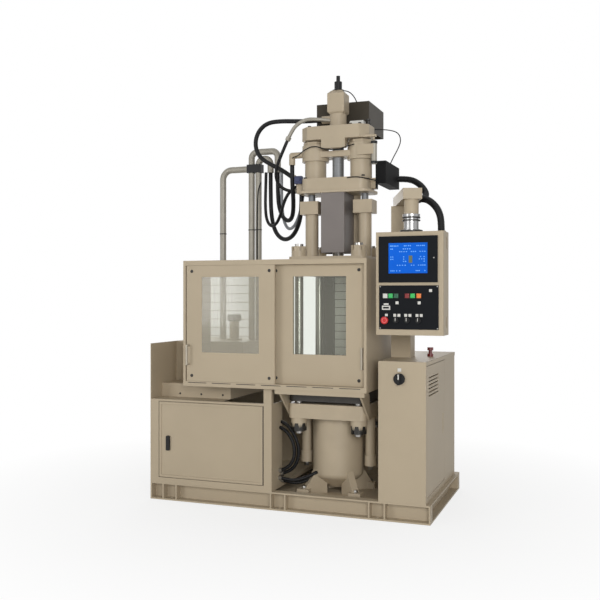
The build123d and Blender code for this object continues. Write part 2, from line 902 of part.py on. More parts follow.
def injection_base():
    """Lower plate of the injection unit on a thin flange, with a valve block and the barrel's shield."""
    plate = slab(unit_half_x, unit_half_y, unit_bottom, unit_top)
    plate = fillet(plate.edges().filter_by(Axis.Z), unit_round)
    flange_top = unit_bottom + unit_flange_height
    flange = slab(unit_half_x + flange_grow_x, unit_half_y + flange_grow_y, unit_bottom, flange_top)
    plate += fillet(flange.edges().filter_by(Axis.Z), unit_round)
    left = press_x - unit_half_x
    valve = block((left - valve_reach, press_y, flange_top), (left, press_y + valve_size, unit_top))
    tip = Vector(left - tip_reach, press_y + tip_back, unit_top + tip_rise)
    fitting = bar_between(tip, tip + Vector(tip_run, 0, -tip_fall), fitting_radius)
    shield_front = press_y + cover_rear_reach
    shield = block((press_x - shield_half, shield_front, cover_bottom),
                   (press_x + shield_half, shield_front + cover_sheet, unit_bottom))
    plate -= core(unit_bottom - overrun, unit_top + overrun, plunger_radius + seat_gap)
    return [plate, valve + fitting, shield]


def injection_cylinders():
    """Two short wide cylinders between the base plate and the yoke."""
    floor = unit_top + shot_rod_floor_share * shot_height - seat_gap
    cylinders = []
    for x, y in pair_x(shot_offset):
        bore = rod(x, y, floor, yoke_bottom + overrun, shot_rod_radius + seat_gap)
        cylinders.append(rod(x, y, unit_top, yoke_bottom, shot_radius) - bore)
    return cylinders


def cylinder_yoke():
    """Yoke with round collared ends over the injection cylinders, a lower beam and a hose elbow."""
    waist = yoke_waist_share * yoke_half_y
    beam_low = yoke_bottom + yoke_beam_raise
    collar_top = yoke_top + collar_height
    collar = extrude(RegularPolygon(collar_radius, 8, rotation=360 / 16), amount=collar_height)
    yoke = slab(shot_offset, waist, beam_low, beam_low + yoke_beam_height)
    for x, y in pair_x(shot_offset):
        yoke += rod(x, y, yoke_bottom, yoke_top, yoke_half_x - shot_offset)
        yoke += Pos(x, y, yoke_top) * collar
    left = press_x - yoke_half_x
    port_y = press_y - port_offset_y
    port_z = (yoke_bottom + yoke_top) / 2
    yoke += rod_x(port_y, port_z, left - port_reach, left + port_reach, port_radius)
    yoke += rod(left - port_reach, port_y, port_z - port_drop, port_z, port_radius)
    yoke += Pos(left - port_reach, port_y, port_z) * Sphere(port_radius)
    for x, y in pair_x(shot_offset):
        yoke -= rod(x, y, yoke_bottom - overrun, collar_top + overrun, shot_rod_radius + seat_gap)
    return [yoke - core(yoke_bottom - overrun, yoke_top + overrun, plunger_radius + seat_gap)]


def nozzle_barrel():
    """Barrel with a tapered nozzle that reaches into the upper platen."""
    barrel = core(barrel_bottom, unit_bottom, barrel_radius)
    nozzle = Cone(nozzle_radius, nozzle_root_radius, nozzle_drop)
    nozzle = Pos(press_x, press_y, barrel_bottom - nozzle_drop / 2) * nozzle
    bore = core(plunger_floor - seat_gap, unit_bottom + overrun, plunger_radius + seat_gap)
    return [barrel + nozzle - bore]


def barrel_cover():
    """Folded cover round the front and sides of the barrel."""
    front, rear = press_y - cover_front_reach, press_y + cover_rear_reach
    outer = block((press_x - cover_half, front, cover_bottom), (press_x + cover_half, rear, unit_bottom))
    inner = cover_half - cover_sheet
    return [outer - block((press_x - inner, front + cover_sheet, cover_bottom - overrun),
                          (press_x + inner, rear + overrun, unit_bottom + overrun))]


def stroke_sensor():
    """Rod sensor clamped to the yoke's right end."""
    x = press_x + yoke_half_x + sensor_clamp
    y = press_y - sensor_offset_y
    body = rod(x, y, yoke_top - sensor_length, yoke_top, sensor_radius)
    body += block((press_x + shot_offset, y - sensor_radius, yoke_bottom + sensor_clamp),
                  (x, y + sensor_radius, yoke_top - sensor_clamp))
    for px, py in pair_x(shot_offset):
        body -= rod(px, py, yoke_bottom - overrun, yoke_top + overrun, yoke_half_x - shot_offset)
    return [body - rod(x, y, yoke_top - sensor_bore, yoke_top + overrun, sensor_rod_radius + seat_gap)]


def junction_box():
    """Terminal box on a bracket at the right end of the base plate."""
    left = press_x + unit_half_x + box_stand
    front = press_y
    low = unit_bottom + box_raise
    right, rear, high = left + box_width, front + box_depth, low + box_height
    lid = right - box_wall
    tray = block((left, front, low), (lid, rear, high))
    tray -= block((left + box_wall, front + box_wall, low + box_wall),
                  (right, rear - box_wall, high - box_wall))
    cover = block((lid, front, low), (right, rear, high))
    low = unit_top - box_bracket_height
    bracket = block((press_x + unit_half_x, front, low),
                    (left, front + box_bracket_depth, low + box_bracket_height))
    return [tray, cover, bracket]


def crosshead():
    """Chamfered plate over the piston rods, with a front block, the plunger coupling and the sensor link."""
    plate = slab(head_half_x, head_half_y, head_bottom, head_top)
    plate = chamfer(plate.edges().filter_by(Axis.Z), head_chamfer)
    plate += core(head_bottom - coupling_height, head_bottom, coupling_radius)
    face = press_y - head_half_y
    plate += block((press_x - front_block_half, face, head_bottom - front_block_drop),
                   (press_x + front_block_half, face + front_block_depth, head_bottom))
    x = press_x + yoke_half_x + sensor_clamp
    y = press_y - sensor_offset_y
    plate += block((press_x + head_half_x - head_chamfer, y - sensor_link, head_bottom),
                   (x + sensor_link, y + sensor_link, head_bottom + sensor_link))
    plate += rod(x, y, yoke_top - sensor_bore + sensor_rod_clear, head_bottom, sensor_rod_radius)
    return [plate]


def piston_rods():
    """Two rods from the injection cylinders to the crosshead, and the plunger between them."""
    floor = unit_top + shot_rod_floor_share * shot_height
    rods = [rod(x, y, floor, head_bottom, shot_rod_radius) for x, y in pair_x(shot_offset)]
    return rods + [core(plunger_floor, head_bottom - coupling_height, plunger_radius)]


def feed_motor():
    """Neck with a hose fitting and square motor block on the crosshead, its edges chamfered."""
    half = feed_size / 2
    motor = slab(half, half, feed_bottom, feed_top)
    motor = chamfer(motor.faces().sort_by(Axis.Z)[-1].edges(), feed_chamfer)
    motor = chamfer(motor.faces().sort_by(Axis.Z)[0].edges(), feed_chamfer / 2)
    motor += core(head_top, feed_bottom, neck_radius)
    left = press_x - neck_radius - fitting_length
    return [motor + rod_x(press_y, feed_bottom - fitting_drop, left, press_x, fitting_radius)]


def encoder():
    """Stepped sensor on top of the motor."""
    step = feed_top + encoder_base_height
    return [core(feed_top, step, encoder_base_radius) + core(step, step + encoder_height, encoder_radius)]


def drive_guard():
    """Thin sheet hood behind the motor, open underneath."""
    left, right = press_x - hood_width / 2, press_x + hood_width / 2
    front = press_y + hood_front
    rear, high = front + hood_depth, head_top + hood_height
    hood = block((left, front, head_top), (right, rear, high))
    hollow = block((left + hood_sheet, front + hood_sheet, head_top - overrun),
                   (right - hood_sheet, rear - hood_sheet, high - hood_sheet))
    return [hood - hollow]


def oil_pipes():
    """Two tall return bends, a drain pipe and the strap that holds them."""
    near_drop = pipe_near_x + pipe_near_span
    far_drop = pipe_far_x + pipe_far_span
    near = [(pipe_near_x, pipe_y, tank_top), (pipe_near_x, pipe_y, pipe_near_top),
            (near_drop, pipe_y, pipe_near_top), (near_drop, pipe_y, pipe_end)]
    far = [(pipe_far_x, pipe_y, tank_top), (pipe_far_x, pipe_y, pipe_far_top),
           (far_drop, pipe_y, pipe_far_top), (far_drop, pipe_y, pipe_end)]
    outer = pipe_radius + strap_thickness
    drain = [(drain_x, pipe_y, tank_top), (drain_x, pipe_y, drain_top),
             (pipe_far_x - outer, pipe_y, drain_top)]
    strap_low, strap_high = drain_top - strap_height, drain_top + strap_height
    strap = block((pipe_far_x - outer, pipe_y - outer, strap_low),
                  (pipe_near_x + outer, pipe_y + outer, strap_high))
    for x in (pipe_far_x, pipe_near_x):
        strap -= rod(x, pipe_y, strap_low - overrun, strap_high + overrun, pipe_radius)
    return [pipe_along(near, pipe_bend, pipe_radius), pipe_along(far, pipe_bend, pipe_radius),
            pipe_along(drain, drain_bend, pipe_radius), strap]


def side_hinge():
    """Hinge axis of the side door, with the door's lower and upper edge."""
    half = side_door_thickness / 2
    return (control_right - half, base_front + side_door_front + door_gap + half,
            base_height + side_door_sill + door_gap, control_top - side_door_head - door_gap)


def control_cabinet():
    """Sheet cabinet with a door opening in its right side, and a spool-shaped lamp on top."""
    left, right, front, rear = control_left, control_right, base_front, control_rear
    low, high = base_height, control_top
    opening_front = front + side_door_front
    opening_rear = opening_front + side_door_width
    frame = right - side_door_thickness
    pins = hinge_holes(*side_hinge())
    x = right - beacon_inset_x
    lamp = rod(x, beacon_y, high, high + beacon_height, beacon_radius)
    waist = rod(x, beacon_y, high + beacon_height / 3, high + 2 * beacon_height / 3, beacon_radius + overrun)
    waist -= rod(x, beacon_y, high, high + beacon_height, beacon_waist_share * beacon_radius)
    return [
        block((left, front, low), (left + sheet, rear, high)),
        block((left + sheet, front, low), (right, front + sheet, high)),
        block((left + sheet, rear - sheet, low), (right, rear, high)),
        block((left + sheet, front + sheet, low), (right, rear - sheet, low + sheet)),
        block((left + sheet, front + sheet, high - sheet), (right, rear - sheet, high)),
        block((right - sheet, front + sheet, low + sheet), (right, opening_front, high - sheet)),
        block((right - sheet, opening_rear, low + sheet), (right, rear - sheet, high - sheet)),
        block((frame, opening_front, low + sheet), (right, opening_rear, low + side_door_sill)) - pins,
        block((frame, opening_front, high - side_door_head), (right, opening_rear, high - sheet)) - pins,
        lamp - waist,
    ]


def side_door():
    """Door in the cabinet's right side, with louvres, a flush pull, a round hinge edge and two hinge pins."""
    hinge_x, front, low, high = side_hinge()
    rear = base_front + side_door_front + side_door_width - door_gap
    door = block((control_right - side_door_thickness, front, low), (control_right, rear, high))
    door += rod(hinge_x, front, low, high, side_door_thickness / 2)
    door += hinge_pins(hinge_x, front, low, high)
    for index in range(louvre_count):
        top = high - louvre_top - index * louvre_pitch
        slit = front + louvre_front
        door -= block((control_right - overrun, slit, top - louvre_height),
                      (control_right + overrun, slit + louvre_length, top))
    middle = low + side_latch_height_share * (high - low)
    half = side_latch_length / 2
    latch_rear = rear - side_latch_inset
    door -= block((control_right - side_latch_depth, latch_rear - side_latch_width, middle - half),
                  (control_right + overrun, latch_rear, middle + half))
    return [door]


def switch_place():
    """Turning axis of the main switch."""
    return control_left + switch_x_share * control_width, control_top - switch_drop


def disconnect_switch():
    """Round main switch with a grip bar."""
    x, z = switch_place()
    face = base_front - seat_gap
    disc = rod_y(x, z, face - switch_depth, face, switch_radius)
    grip = block((x - switch_grip / 2, face - switch_depth - switch_grip_depth, z - switch_radius),
                 (x + switch_grip / 2, face - switch_depth, z + switch_radius))
    return [disc + grip]


def panel_arm():
    """Square pillar on the control cabinet, slanted arm and the round tube at its end."""
    pillar = block((pillar_x - pillar_half, pillar_y - pillar_half, control_top),
                   (pillar_x + pillar_half, pillar_y + pillar_half, arm_bottom))
    run = Vector(swivel_x - pillar_x, swivel_y - pillar_y, 0)
    turn = degrees(atan2(run.Y, run.X))
    length = arm_tail + run.length + arm_nose
    arm = Pos(length / 2 - arm_tail, 0, 0) * Box(length, arm_width, arm_height)
    arm += Pos(clip_place, (arm_width + clip_gap) / 2, 0) * Box(clip_length, clip_gap, clip_height)
    arm = Pos(pillar_x, pillar_y, arm_bottom + arm_height / 2) * Rot(0, 0, turn) * arm
    return [pillar + arm + rod(swivel_x, swivel_y, tube_bottom, arm_bottom, tube_radius)]


def panel_swivel():
    """Turned collar between the tube and the panel."""
    low, high = panel_top, panel_top + swivel_height
    collar = rod(swivel_x, swivel_y, low, high, swivel_waist)
    collar += rod(swivel_x, swivel_y, low, low + swivel_band, swivel_radius)
    return [collar + rod(swivel_x, swivel_y, high - swivel_band, high, swivel_radius)]


def control_place(column_share, row_share):
    """Centre of a control on the button plate."""
    centre = swivel_x + terminal_shift / 2
    return centre + column_share * plate_width, plate_centre_z + row_share * plate_height


def button_holes(margin, front, rear):
    """Openings for the buttons and the turning controls."""
    holes = []
    for share in button_column_shares:
        x, z = control_place(share, button_row_share)
        half = button_size / 2 + margin
        holes.append(block((x - half, front, z - half), (x + half, rear, z + half)))
    for share in (stop_column_share, *knob_column_shares):
        x, z = control_place(share, knob_row_share)
        holes.append(rod_y(x, z, front, rear, stem_radius + margin))
    return holes


def panel_box():
    """Rounded housing of the operator panel, with pockets behind the controls and a gland on top."""
    half = panel_width / 2
    inner = half - panel_wall
    rear = panel_front + panel_depth
    lid = rear - panel_wall
    box = block((swivel_x - half, panel_front, panel_bottom), (swivel_x + half, rear, panel_top))
    box = fillet(box.edges().filter_by(Axis.Z), panel_round)
    low, high = panel_bottom + panel_wall, panel_top - panel_wall
    cover = block((swivel_x - inner, lid, low), (swivel_x + inner, rear, high))
    box -= block((swivel_x - inner, panel_front + panel_wall, low), (swivel_x + inner, rear + overrun, high))
    for hole in button_holes(seat_gap, panel_front - overrun, panel_front + control_pocket):
        box -= hole
    gland_x, gland_y = swivel_x + gland_out, swivel_y + gland_back
    gland = rod(gland_x, gland_y, panel_top, panel_top + gland_height, gland_radius)
    return [box, cover, gland]


def panel_terminal():
    """Terminal bezel with a recess, and the screen in it."""
    x = swivel_x + terminal_shift
    top = panel_top - terminal_drop
    front = panel_front - terminal_proud
    half = terminal_width / 2
    bezel = block((x - half, front, top - terminal_height), (x + half, panel_front, top))
    middle = top - terminal_height / 2 + screen_raise
    low = (x - screen_width / 2, front - overrun, middle - screen_height / 2)
    high = (x + screen_width / 2, front + screen_recess, middle + screen_height / 2)
    screen = block((low[0], front + screen_recess, low[2]), (high[0], panel_front, high[2]))
    return [bezel - block(low, (high[0], panel_front + overrun, high[2])), screen]


def button_plate():
    """Plate that carries the buttons and switches."""
    x = swivel_x + terminal_shift / 2
    plate = block((x - plate_width / 2, panel_front - plate_proud, plate_centre_z - plate_height / 2),
                  (x + plate_width / 2, panel_front, plate_centre_z + plate_height / 2))
    for hole in button_holes(seat_gap, panel_front - overrun, panel_front + overrun):
        plate -= hole
    return [plate]


plate_face = panel_front - plate_proud


def push_button(column_share):
    """Square push button."""
    x, z = control_place(column_share, button_row_share)
    half = button_size / 2
    button = block((x - half, plate_face - button_proud, z - half),
                   (x + half, panel_front + button_tail, z + half))
    return [chamfer(button.faces().sort_by(Axis.Y)[0].edges(), button_proud / 4)]


def stop_button():
    """Mushroom stop button on a stem."""
    x, z = control_place(stop_column_share, knob_row_share)
    head = rod_y(x, z, plate_face - stop_height, plate_face - stop_neck, stop_radius)
    return [head + rod_y(x, z, plate_face - stop_neck, panel_front + button_tail, stem_radius)]


def selector(column_share):
    """Turning selector with a grip bar."""
    x, z = control_place(column_share, knob_row_share)
    face = plate_face - seat_gap
    base = rod_y(x, z, face - knob_height / 2, face, knob_radius)
    grip = block((x - knob_grip / 2, face - knob_height, z - knob_radius),
                 (x + knob_grip / 2, face - knob_height / 2, z + knob_radius))
    return [base + grip + rod_y(x, z, face, panel_front + button_tail, stem_radius)]


def save(name, pieces):
    """Write one node's solids to its own file."""
    solids = [solid for piece in pieces for solid in piece.solids()]
    export_step(Compound(label=name, children=solids), f"parts/{name}.step")


nodes = {
    "base_frame": base_frame(),
    "hydraulic_cabinet": hydraulic_cabinet(),
    "tank_cover": tank_cover(),
    "pump_motor": pump_motor(),
    "main_cylinder": main_cylinder(),
    "bed_platen": bed_platen(),
    "tie_bars": tie_bars() + tie_bar_nuts(),
    "lift_jacks": lift_jacks(),
    "upper_platen": upper_platen(),
    "upper_hot_plate": upper_hot_plate(),
    "guard_frame": guard_frame(),
    "unit_cylinders": unit_cylinders(),
    "oil_pipes": oil_pipes(),
    "control_cabinet": control_cabinet(),
    "panel_arm": panel_arm(),
    "clamp_ram": clamp_ram(),
    "moving_platen": [platen(platen_half - moving_inset, moving_bottom, moving_top)],
    "lower_hot_plate": lower_hot_plate(),
    "left_door": left_door(),
    "left_window": window_pane(left_window_box),
    "left_handle": door_handle(left_door_left, front_track, False, left_handle_reach),
    "right_door": [sliding_door(right_door_left, rear_track, right_window_box)],
    "right_window": window_pane(right_window_box),
    "right_handle": door_handle(right_door_left, rear_track, True, right_handle_reach),
    "cabinet_door": cabinet_door(),
    "cabinet_latch": cabinet_latch(),
    "side_door": side_door(),
    "disconnect_switch": disconnect_switch(),
    "injection_base": injection_base(),
    "injection_cylinders": injection_cylinders(),
    "cylinder_yoke": cylinder_yoke(),
    "nozzle_barrel": nozzle_barrel(),
    "barrel_cover": barrel_cover(),
    "junction_box": junction_box(),
    "stroke_sensor": stroke_sensor(),
    "unit_rods": unit_rods(),
    "crosshead": crosshead(),
    "piston_rods": piston_rods(),
    "feed_motor": feed_motor(),
    "encoder": encoder(),
    "drive_guard": drive_guard(),
    "panel_box": panel_box(),
    "panel_swivel": panel_swivel(),
    "panel_terminal": panel_terminal(),
    "button_plate": button_plate(),
    "stop_button": stop_button(),
    "arc_hose": [tube_along(arc_route, hose_radius)],
    "supply_hose": [tube_along(supply_route, hose_radius)],
    "return_hose": [tube_along(return_route, hose_radius)],
    "conduit_upper": [tube_along(upper_conduit_route, conduit_radius)],
    "conduit_lower": [tube_along(lower_conduit_route, conduit_radius)],
}
for button_name, button_share in zip(button_names, button_column_shares):
    nodes[button_name] = push_button(button_share)
for number, knob_share in enumerate(knob_column_shares, start=1):
    nodes[f"selector_{number}"] = selector(knob_share)

os.makedirs("parts", exist_ok=True)
for node_name, node_pieces in nodes.items():
    save(node_name, node_pieces)
print(len(nodes), "nodes")
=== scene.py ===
import math

import bmesh
import bpy
from mathutils import Matrix, Vector


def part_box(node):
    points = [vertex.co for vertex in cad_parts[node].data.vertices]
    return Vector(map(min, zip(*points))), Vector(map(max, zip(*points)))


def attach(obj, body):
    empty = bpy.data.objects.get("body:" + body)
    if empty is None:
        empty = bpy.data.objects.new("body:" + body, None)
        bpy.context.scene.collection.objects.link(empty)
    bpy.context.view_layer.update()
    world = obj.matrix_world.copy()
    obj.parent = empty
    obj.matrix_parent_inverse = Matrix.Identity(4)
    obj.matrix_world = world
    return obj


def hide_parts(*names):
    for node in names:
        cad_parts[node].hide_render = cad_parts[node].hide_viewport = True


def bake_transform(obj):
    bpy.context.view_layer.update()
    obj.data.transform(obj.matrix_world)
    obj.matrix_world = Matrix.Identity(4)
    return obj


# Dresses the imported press: finishes, hoses, fasteners and panel faces. Metres, front at -Y.

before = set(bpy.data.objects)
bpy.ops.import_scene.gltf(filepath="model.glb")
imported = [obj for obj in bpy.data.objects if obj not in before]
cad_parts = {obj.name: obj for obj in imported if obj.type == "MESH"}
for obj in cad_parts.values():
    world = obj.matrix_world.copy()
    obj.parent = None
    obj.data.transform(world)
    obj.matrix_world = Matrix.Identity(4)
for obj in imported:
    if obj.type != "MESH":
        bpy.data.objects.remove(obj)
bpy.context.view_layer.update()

# Camera of the photograph, in its square frame
picture_size = 600
horizon_offset = -5
camera_place = (1.687, -4.690, 1.190)
camera_turn = math.radians(20.4)
camera_lens = 49.8

# Colours, linear
beige = (0.43, 0.357, 0.255)
# Painted shade: a darker copy of the beige paint, standing in for the shade on hinges and louvres
painted_shade_beige = (0.36, 0.295, 0.21)
handle_beige = (0.38, 0.34, 0.27)
steel = (0.30, 0.29, 0.275)
rod_grey = (0.20, 0.205, 0.21)
chrome = (0.30, 0.30, 0.30)
screw_grey = (0.36, 0.35, 0.33)
dark_steel = (0.045, 0.041, 0.036)
hood_brown = (0.052, 0.044, 0.033)
cover_grey = (0.16, 0.14, 0.13)
zinc_grey = (0.31, 0.29, 0.245)
black = (0.006, 0.006, 0.0065)
bezel_black = (0.008, 0.009, 0.011)
soft_black = (0.012, 0.012, 0.0125)
# Dark colour of bolts, also used as painted shade in the door gap and the rail slots
bolt_and_gap_shade_black = (0.035, 0.033, 0.03)
pump_grey = (0.14, 0.155, 0.17)
pale_plate = (0.62, 0.61, 0.57)
slat_grey = (0.66, 0.65, 0.62)
# Painted shade: dark brown standing in for the shade on the posts and behind the slats
painted_shade_brown = (0.075, 0.062, 0.050)
screen_blue = (0.004, 0.105, 0.58)
screen_ink = (0.16, 0.45, 0.85)
screen_mark = (0.10, 0.12, 0.07)
hose_grey = (0.26, 0.27, 0.29)
valve_blue = (0.010, 0.018, 0.075)
lamp_red = (0.16, 0.012, 0.012)
stop_red = (0.52, 0.012, 0.012)
ring_red = (0.62, 0.10, 0.10)
pane_tint = (0.70, 0.68, 0.60)
# Pale share of the left pane: a light tint, and painted reflection over the see-through sheet
tint_and_reflection_beige = (0.50, 0.46, 0.38)
glass_clear = (0.93, 0.95, 0.92)
floor_grey = (0.80, 0.80, 0.78)
button_colours = {
    "button_white": (0.62, 0.62, 0.58), "button_green": (0.03, 0.42, 0.10),
    "button_dark_green": (0.012, 0.10, 0.045), "button_red": (0.20, 0.012, 0.012),
    "button_start": (0.03, 0.46, 0.09), "button_orange": (0.78, 0.20, 0.03),
}

# Surfaces: shares of the noise where the colour changes, spread of gloss and depth of the grain
mottle_span = (0.3, 0.7)
gloss_spread = 0.15
grain_depth = 0.0006

# Shapes: edge softening, the smoothing limit, small steps between faces and the main directions
soft_edge = 0.0015
crisp_edge = 0.0001
smooth_limit = math.radians(35)
skin = 0.0005
forward = (0, -1, 0)
upward = (0, 0, 1)
hex_sides = 6
small_sides = 12
sheet_sides = 14
screw_sides = 18
ring_sides = 24
round_sides = 28
band_sides = 32

# Cords: sizes and the routes of the solids, as control points
hose_diameter = 0.026
conduit_diameter = 0.038
ring_pitch = 0.0085
ring_groove = 0.0018
tube_sides = 20
curve_steps = 16
arc_route = [
    (0.130, -0.130, 2.204), (0.040, -0.130, 2.204), (-0.050, -0.126, 2.212), (-0.140, -0.119, 2.220),
    (-0.217, -0.112, 2.218), (-0.273, -0.106, 2.186), (-0.305, -0.101, 2.130), (-0.305, -0.097, 2.066),
    (-0.273, -0.093, 2.010), (-0.203, -0.090, 1.968), (-0.122, -0.088, 1.926), (-0.068, -0.088, 1.884),
]
supply_route = [
    (-0.310, 0.150, 1.960), (-0.310, 0.150, 1.820), (-0.303, 0.143, 1.690), (-0.268, 0.116, 1.585),
    (-0.195, 0.066, 1.528), (-0.115, 0.005, 1.535), (-0.050, -0.055, 1.590), (-0.010, -0.100, 1.680),
    (-0.010, -0.100, 1.784),
]
return_route = [
    (-0.262, 0.150, 1.960), (-0.262, 0.150, 1.850), (-0.250, 0.138, 1.740), (-0.205, 0.100, 1.665),
    (-0.145, 0.045, 1.640), (-0.095, -0.020, 1.665), (-0.066, -0.085, 1.745), (-0.052, -0.145, 1.850),
    (-0.052, -0.145, 1.950),
]
upper_conduit_route = [
    (0.508, 0.150, 1.880), (0.578, 0.150, 1.880), (0.643, 0.138, 1.845), (0.690, 0.095, 1.790),
    (0.705, 0.015, 1.748), (0.679, -0.103, 1.719), (0.710, -0.187, 1.715),
]
lower_conduit_route = [
    (0.710, -0.187, 1.715), (0.73046, -0.24244, 1.71236), (0.775, -0.288, 1.702), (0.812, -0.322, 1.678),
    (0.848, -0.351, 1.638), (0.867, -0.366, 1.584), (0.867, -0.366, 1.526),
]


def surface(name, colour, roughness, metallic=0.0, mottle=0.05, mottle_scale=3.0, grain=0.05,
            grain_scale=900.0, stretch=(1, 1, 1), edge=0.0012, coat=0.0, sheen=0.5):
    """Material with uneven colour and gloss, a fine grain and softened edges."""
    made = bpy.data.materials.new(name)
    made.use_nodes = True
    nodes, links = made.node_tree.nodes, made.node_tree.links
    shader = nodes["Principled BSDF"]
    shader.inputs["Metallic"].default_value = metallic
    shader.inputs["Coat Weight"].default_value = coat
    shader.inputs["Specular IOR Level"].default_value = sheen
    place = nodes.new("ShaderNodeTexCoord")
    mapping = nodes.new("ShaderNodeMapping")
    mapping.inputs["Scale"].default_value = stretch
    links.new(place.outputs["Object"], mapping.inputs["Vector"])
    broad = nodes.new("ShaderNodeTexNoise")
    broad.inputs["Scale"].default_value = mottle_scale
    broad.inputs["Detail"].default_value = 6
    links.new(mapping.outputs["Vector"], broad.inputs["Vector"])
    ramp = nodes.new("ShaderNodeValToRGB")
    for stop, position, change in zip(ramp.color_ramp.elements, mottle_span, (-mottle, mottle)):
        stop.position = position
        stop.color = (*[c * (1 + change) for c in colour], 1)
    links.new(broad.outputs["Fac"], ramp.inputs["Fac"])
    links.new(ramp.outputs["Color"], shader.inputs["Base Color"])
    fine = nodes.new("ShaderNodeTexNoise")
    fine.inputs["Scale"].default_value = grain_scale
    fine.inputs["Detail"].default_value = 2
    links.new(mapping.outputs["Vector"], fine.inputs["Vector"])
    gloss = nodes.new("ShaderNodeMapRange")
    gloss.inputs["To Min"].default_value = roughness * (1 - gloss_spread)
    gloss.inputs["To Max"].default_value = roughness * (1 + gloss_spread)
    links.new(fine.outputs["Fac"], gloss.inputs["Value"])
    links.new(gloss.outputs["Result"], shader.inputs["Roughness"])
    bevel = nodes.new("ShaderNodeBevel")
    bevel.inputs["Radius"].default_value = edge
    bump = nodes.new("ShaderNodeBump")
    bump.inputs["Strength"].default_value = grain
    bump.inputs["Distance"].default_value = grain_depth
    links.new(fine.outputs["Fac"], bump.inputs["Height"])
    links.new(bevel.outputs["Normal"], bump.inputs["Normal"])
    links.new(bump.outputs["Normal"], shader.inputs["Normal"])
    return made


def lit_surface(name, colour, roughness, strength, **more):
    """Surface that shines a little by itself."""
    made = surface(name, colour, roughness, grain=0.01, **more)
    shader = made.node_tree.nodes["Principled BSDF"]
    shader.inputs["Emission Color"].default_value = (*colour, 1)
    shader.inputs["Emission Strength"].default_value = strength
    return made


def clear_pane(name, colour, share):
    """Thin clear sheet with a tint and a few smears, its share of plain surface given."""
    made = surface(name, colour, 0.08, mottle=0.04, grain=0.01)
    nodes, links = made.node_tree.nodes, made.node_tree.links
    shader = nodes["Principled BSDF"]
    clear = nodes.new("ShaderNodeBsdfTransparent")
    clear.inputs["Color"].default_value = (*glass_clear, 1)
    mixed = nodes.new("ShaderNodeMixShader")
    mixed.inputs["Fac"].default_value = share
    links.new(clear.outputs["BSDF"], mixed.inputs[1])
    links.new(shader.outputs["BSDF"], mixed.inputs[2])
    links.new(mixed.outputs["Shader"], nodes["Material Output"].inputs["Surface"])
    return made


# Paint and cast iron
paint = surface("paint", beige, 0.48, mottle=0.035, mottle_scale=2.2, grain=0.06, sheen=0.22)
# Painted shade: the beige paint made darker for hinges and louvres
painted_shade_paint = surface("painted_shade_paint", painted_shade_beige, 0.46, mottle=0.05, grain=0.06)
cast_paint = surface("cast_paint", beige, 0.46, mottle=0.05, mottle_scale=7.0, grain=0.22, grain_scale=160.0,
                     sheen=0.35)
handle_paint = surface("handle_paint", handle_beige, 0.40, 0.2, mottle=0.08, mottle_scale=30.0)
motor_grey = surface("motor_grey", pump_grey, 0.45, mottle=0.08, grain=0.12)
grey_cover = surface("grey_cover", cover_grey, 0.45, 0.1, mottle=0.06, mottle_scale=5.0, grain=0.08)
hood_sheet = surface("hood_sheet", hood_brown, 0.50, 0.1, mottle=0.09, mottle_scale=5.0, sheen=0.14)
slat_sheet = surface("slat_sheet", slat_grey, 0.42, 0.2, mottle=0.06, mottle_scale=8.0)
# Painted shade for the shield's posts and the sheet behind its slats
painted_shade_shield = surface("painted_shade_shield", painted_shade_brown, 0.50, mottle=0.10, mottle_scale=6.0)
blue_valve = surface("blue_valve", valve_blue, 0.35, mottle=0.10, mottle_scale=30.0)

# Bare metal
bare_steel = surface("bare_steel", steel, 0.30, 1.0, mottle=0.10, mottle_scale=12.0, grain=0.06,
                     grain_scale=220.0, stretch=(1, 1, 12))
dark_plate = surface("dark_plate", dark_steel, 0.50, 0.4, mottle=0.18, mottle_scale=9.0, stretch=(1, 10, 1))
zinc = surface("zinc", zinc_grey, 0.50, 0.35, mottle=0.08, mottle_scale=14.0, grain=0.08, grain_scale=300.0,
               sheen=0.35)
plated = surface("plated", chrome, 0.30, 1.0, mottle=0.03, mottle_scale=20.0, grain=0.01)
ground_steel = surface("ground_steel", rod_grey, 0.55, 0.6, mottle=0.08, mottle_scale=14.0, grain=0.06,
                       grain_scale=260.0, stretch=(1, 1, 10), sheen=0.3)
fastener = surface("fastener", screw_grey, 0.34, 1.0, mottle=0.12, mottle_scale=60.0, edge=0.0006)
# Dark bolt finish, also painted shade in the cabinet door's gap and the guard rail's slots
bolt_and_gap_shade_finish = surface("bolt_and_gap_shade_finish", bolt_and_gap_shade_black, 0.42, 0.6, mottle=0.15, mottle_scale=60.0, edge=0.0006)

# Plastic, rubber and glass
box_black = surface("box_black", soft_black, 0.68, mottle=0.10, mottle_scale=8.0, grain=0.14,
                    grain_scale=700.0, sheen=0.06)
rubber = surface("rubber", black, 0.52, mottle=0.25, mottle_scale=25.0, grain=0.18, grain_scale=500.0,
                 sheen=0.22)
grey_rubber = surface("grey_rubber", hose_grey, 0.50, mottle=0.12, mottle_scale=20.0, grain=0.12,
                      grain_scale=500.0)
plastic = surface("plastic", soft_black, 0.42, mottle=0.10, mottle_scale=14.0, grain=0.16, grain_scale=700.0,
                  sheen=0.22)
gloss_black = surface("gloss_black", bezel_black, 0.34, mottle=0.08, mottle_scale=9.0, grain=0.03, sheen=0.08)
label_plate = surface("label_plate", pale_plate, 0.50, mottle=0.05, mottle_scale=40.0)
stop_face = surface("stop_face", stop_red, 0.26, mottle=0.08, mottle_scale=50.0, coat=0.4)
stop_trim = surface("stop_trim", ring_red, 0.34, mottle=0.06, mottle_scale=60.0)
red_lamp = surface("red_lamp", lamp_red, 0.30, mottle=0.10, mottle_scale=30.0, coat=0.4)
screen = lit_surface("screen", screen_blue, 0.16, 0.16, mottle=0.06, mottle_scale=5.0, sheen=0.10)
ink = lit_surface("ink", screen_ink, 0.2, 0.25, mottle=0.03)
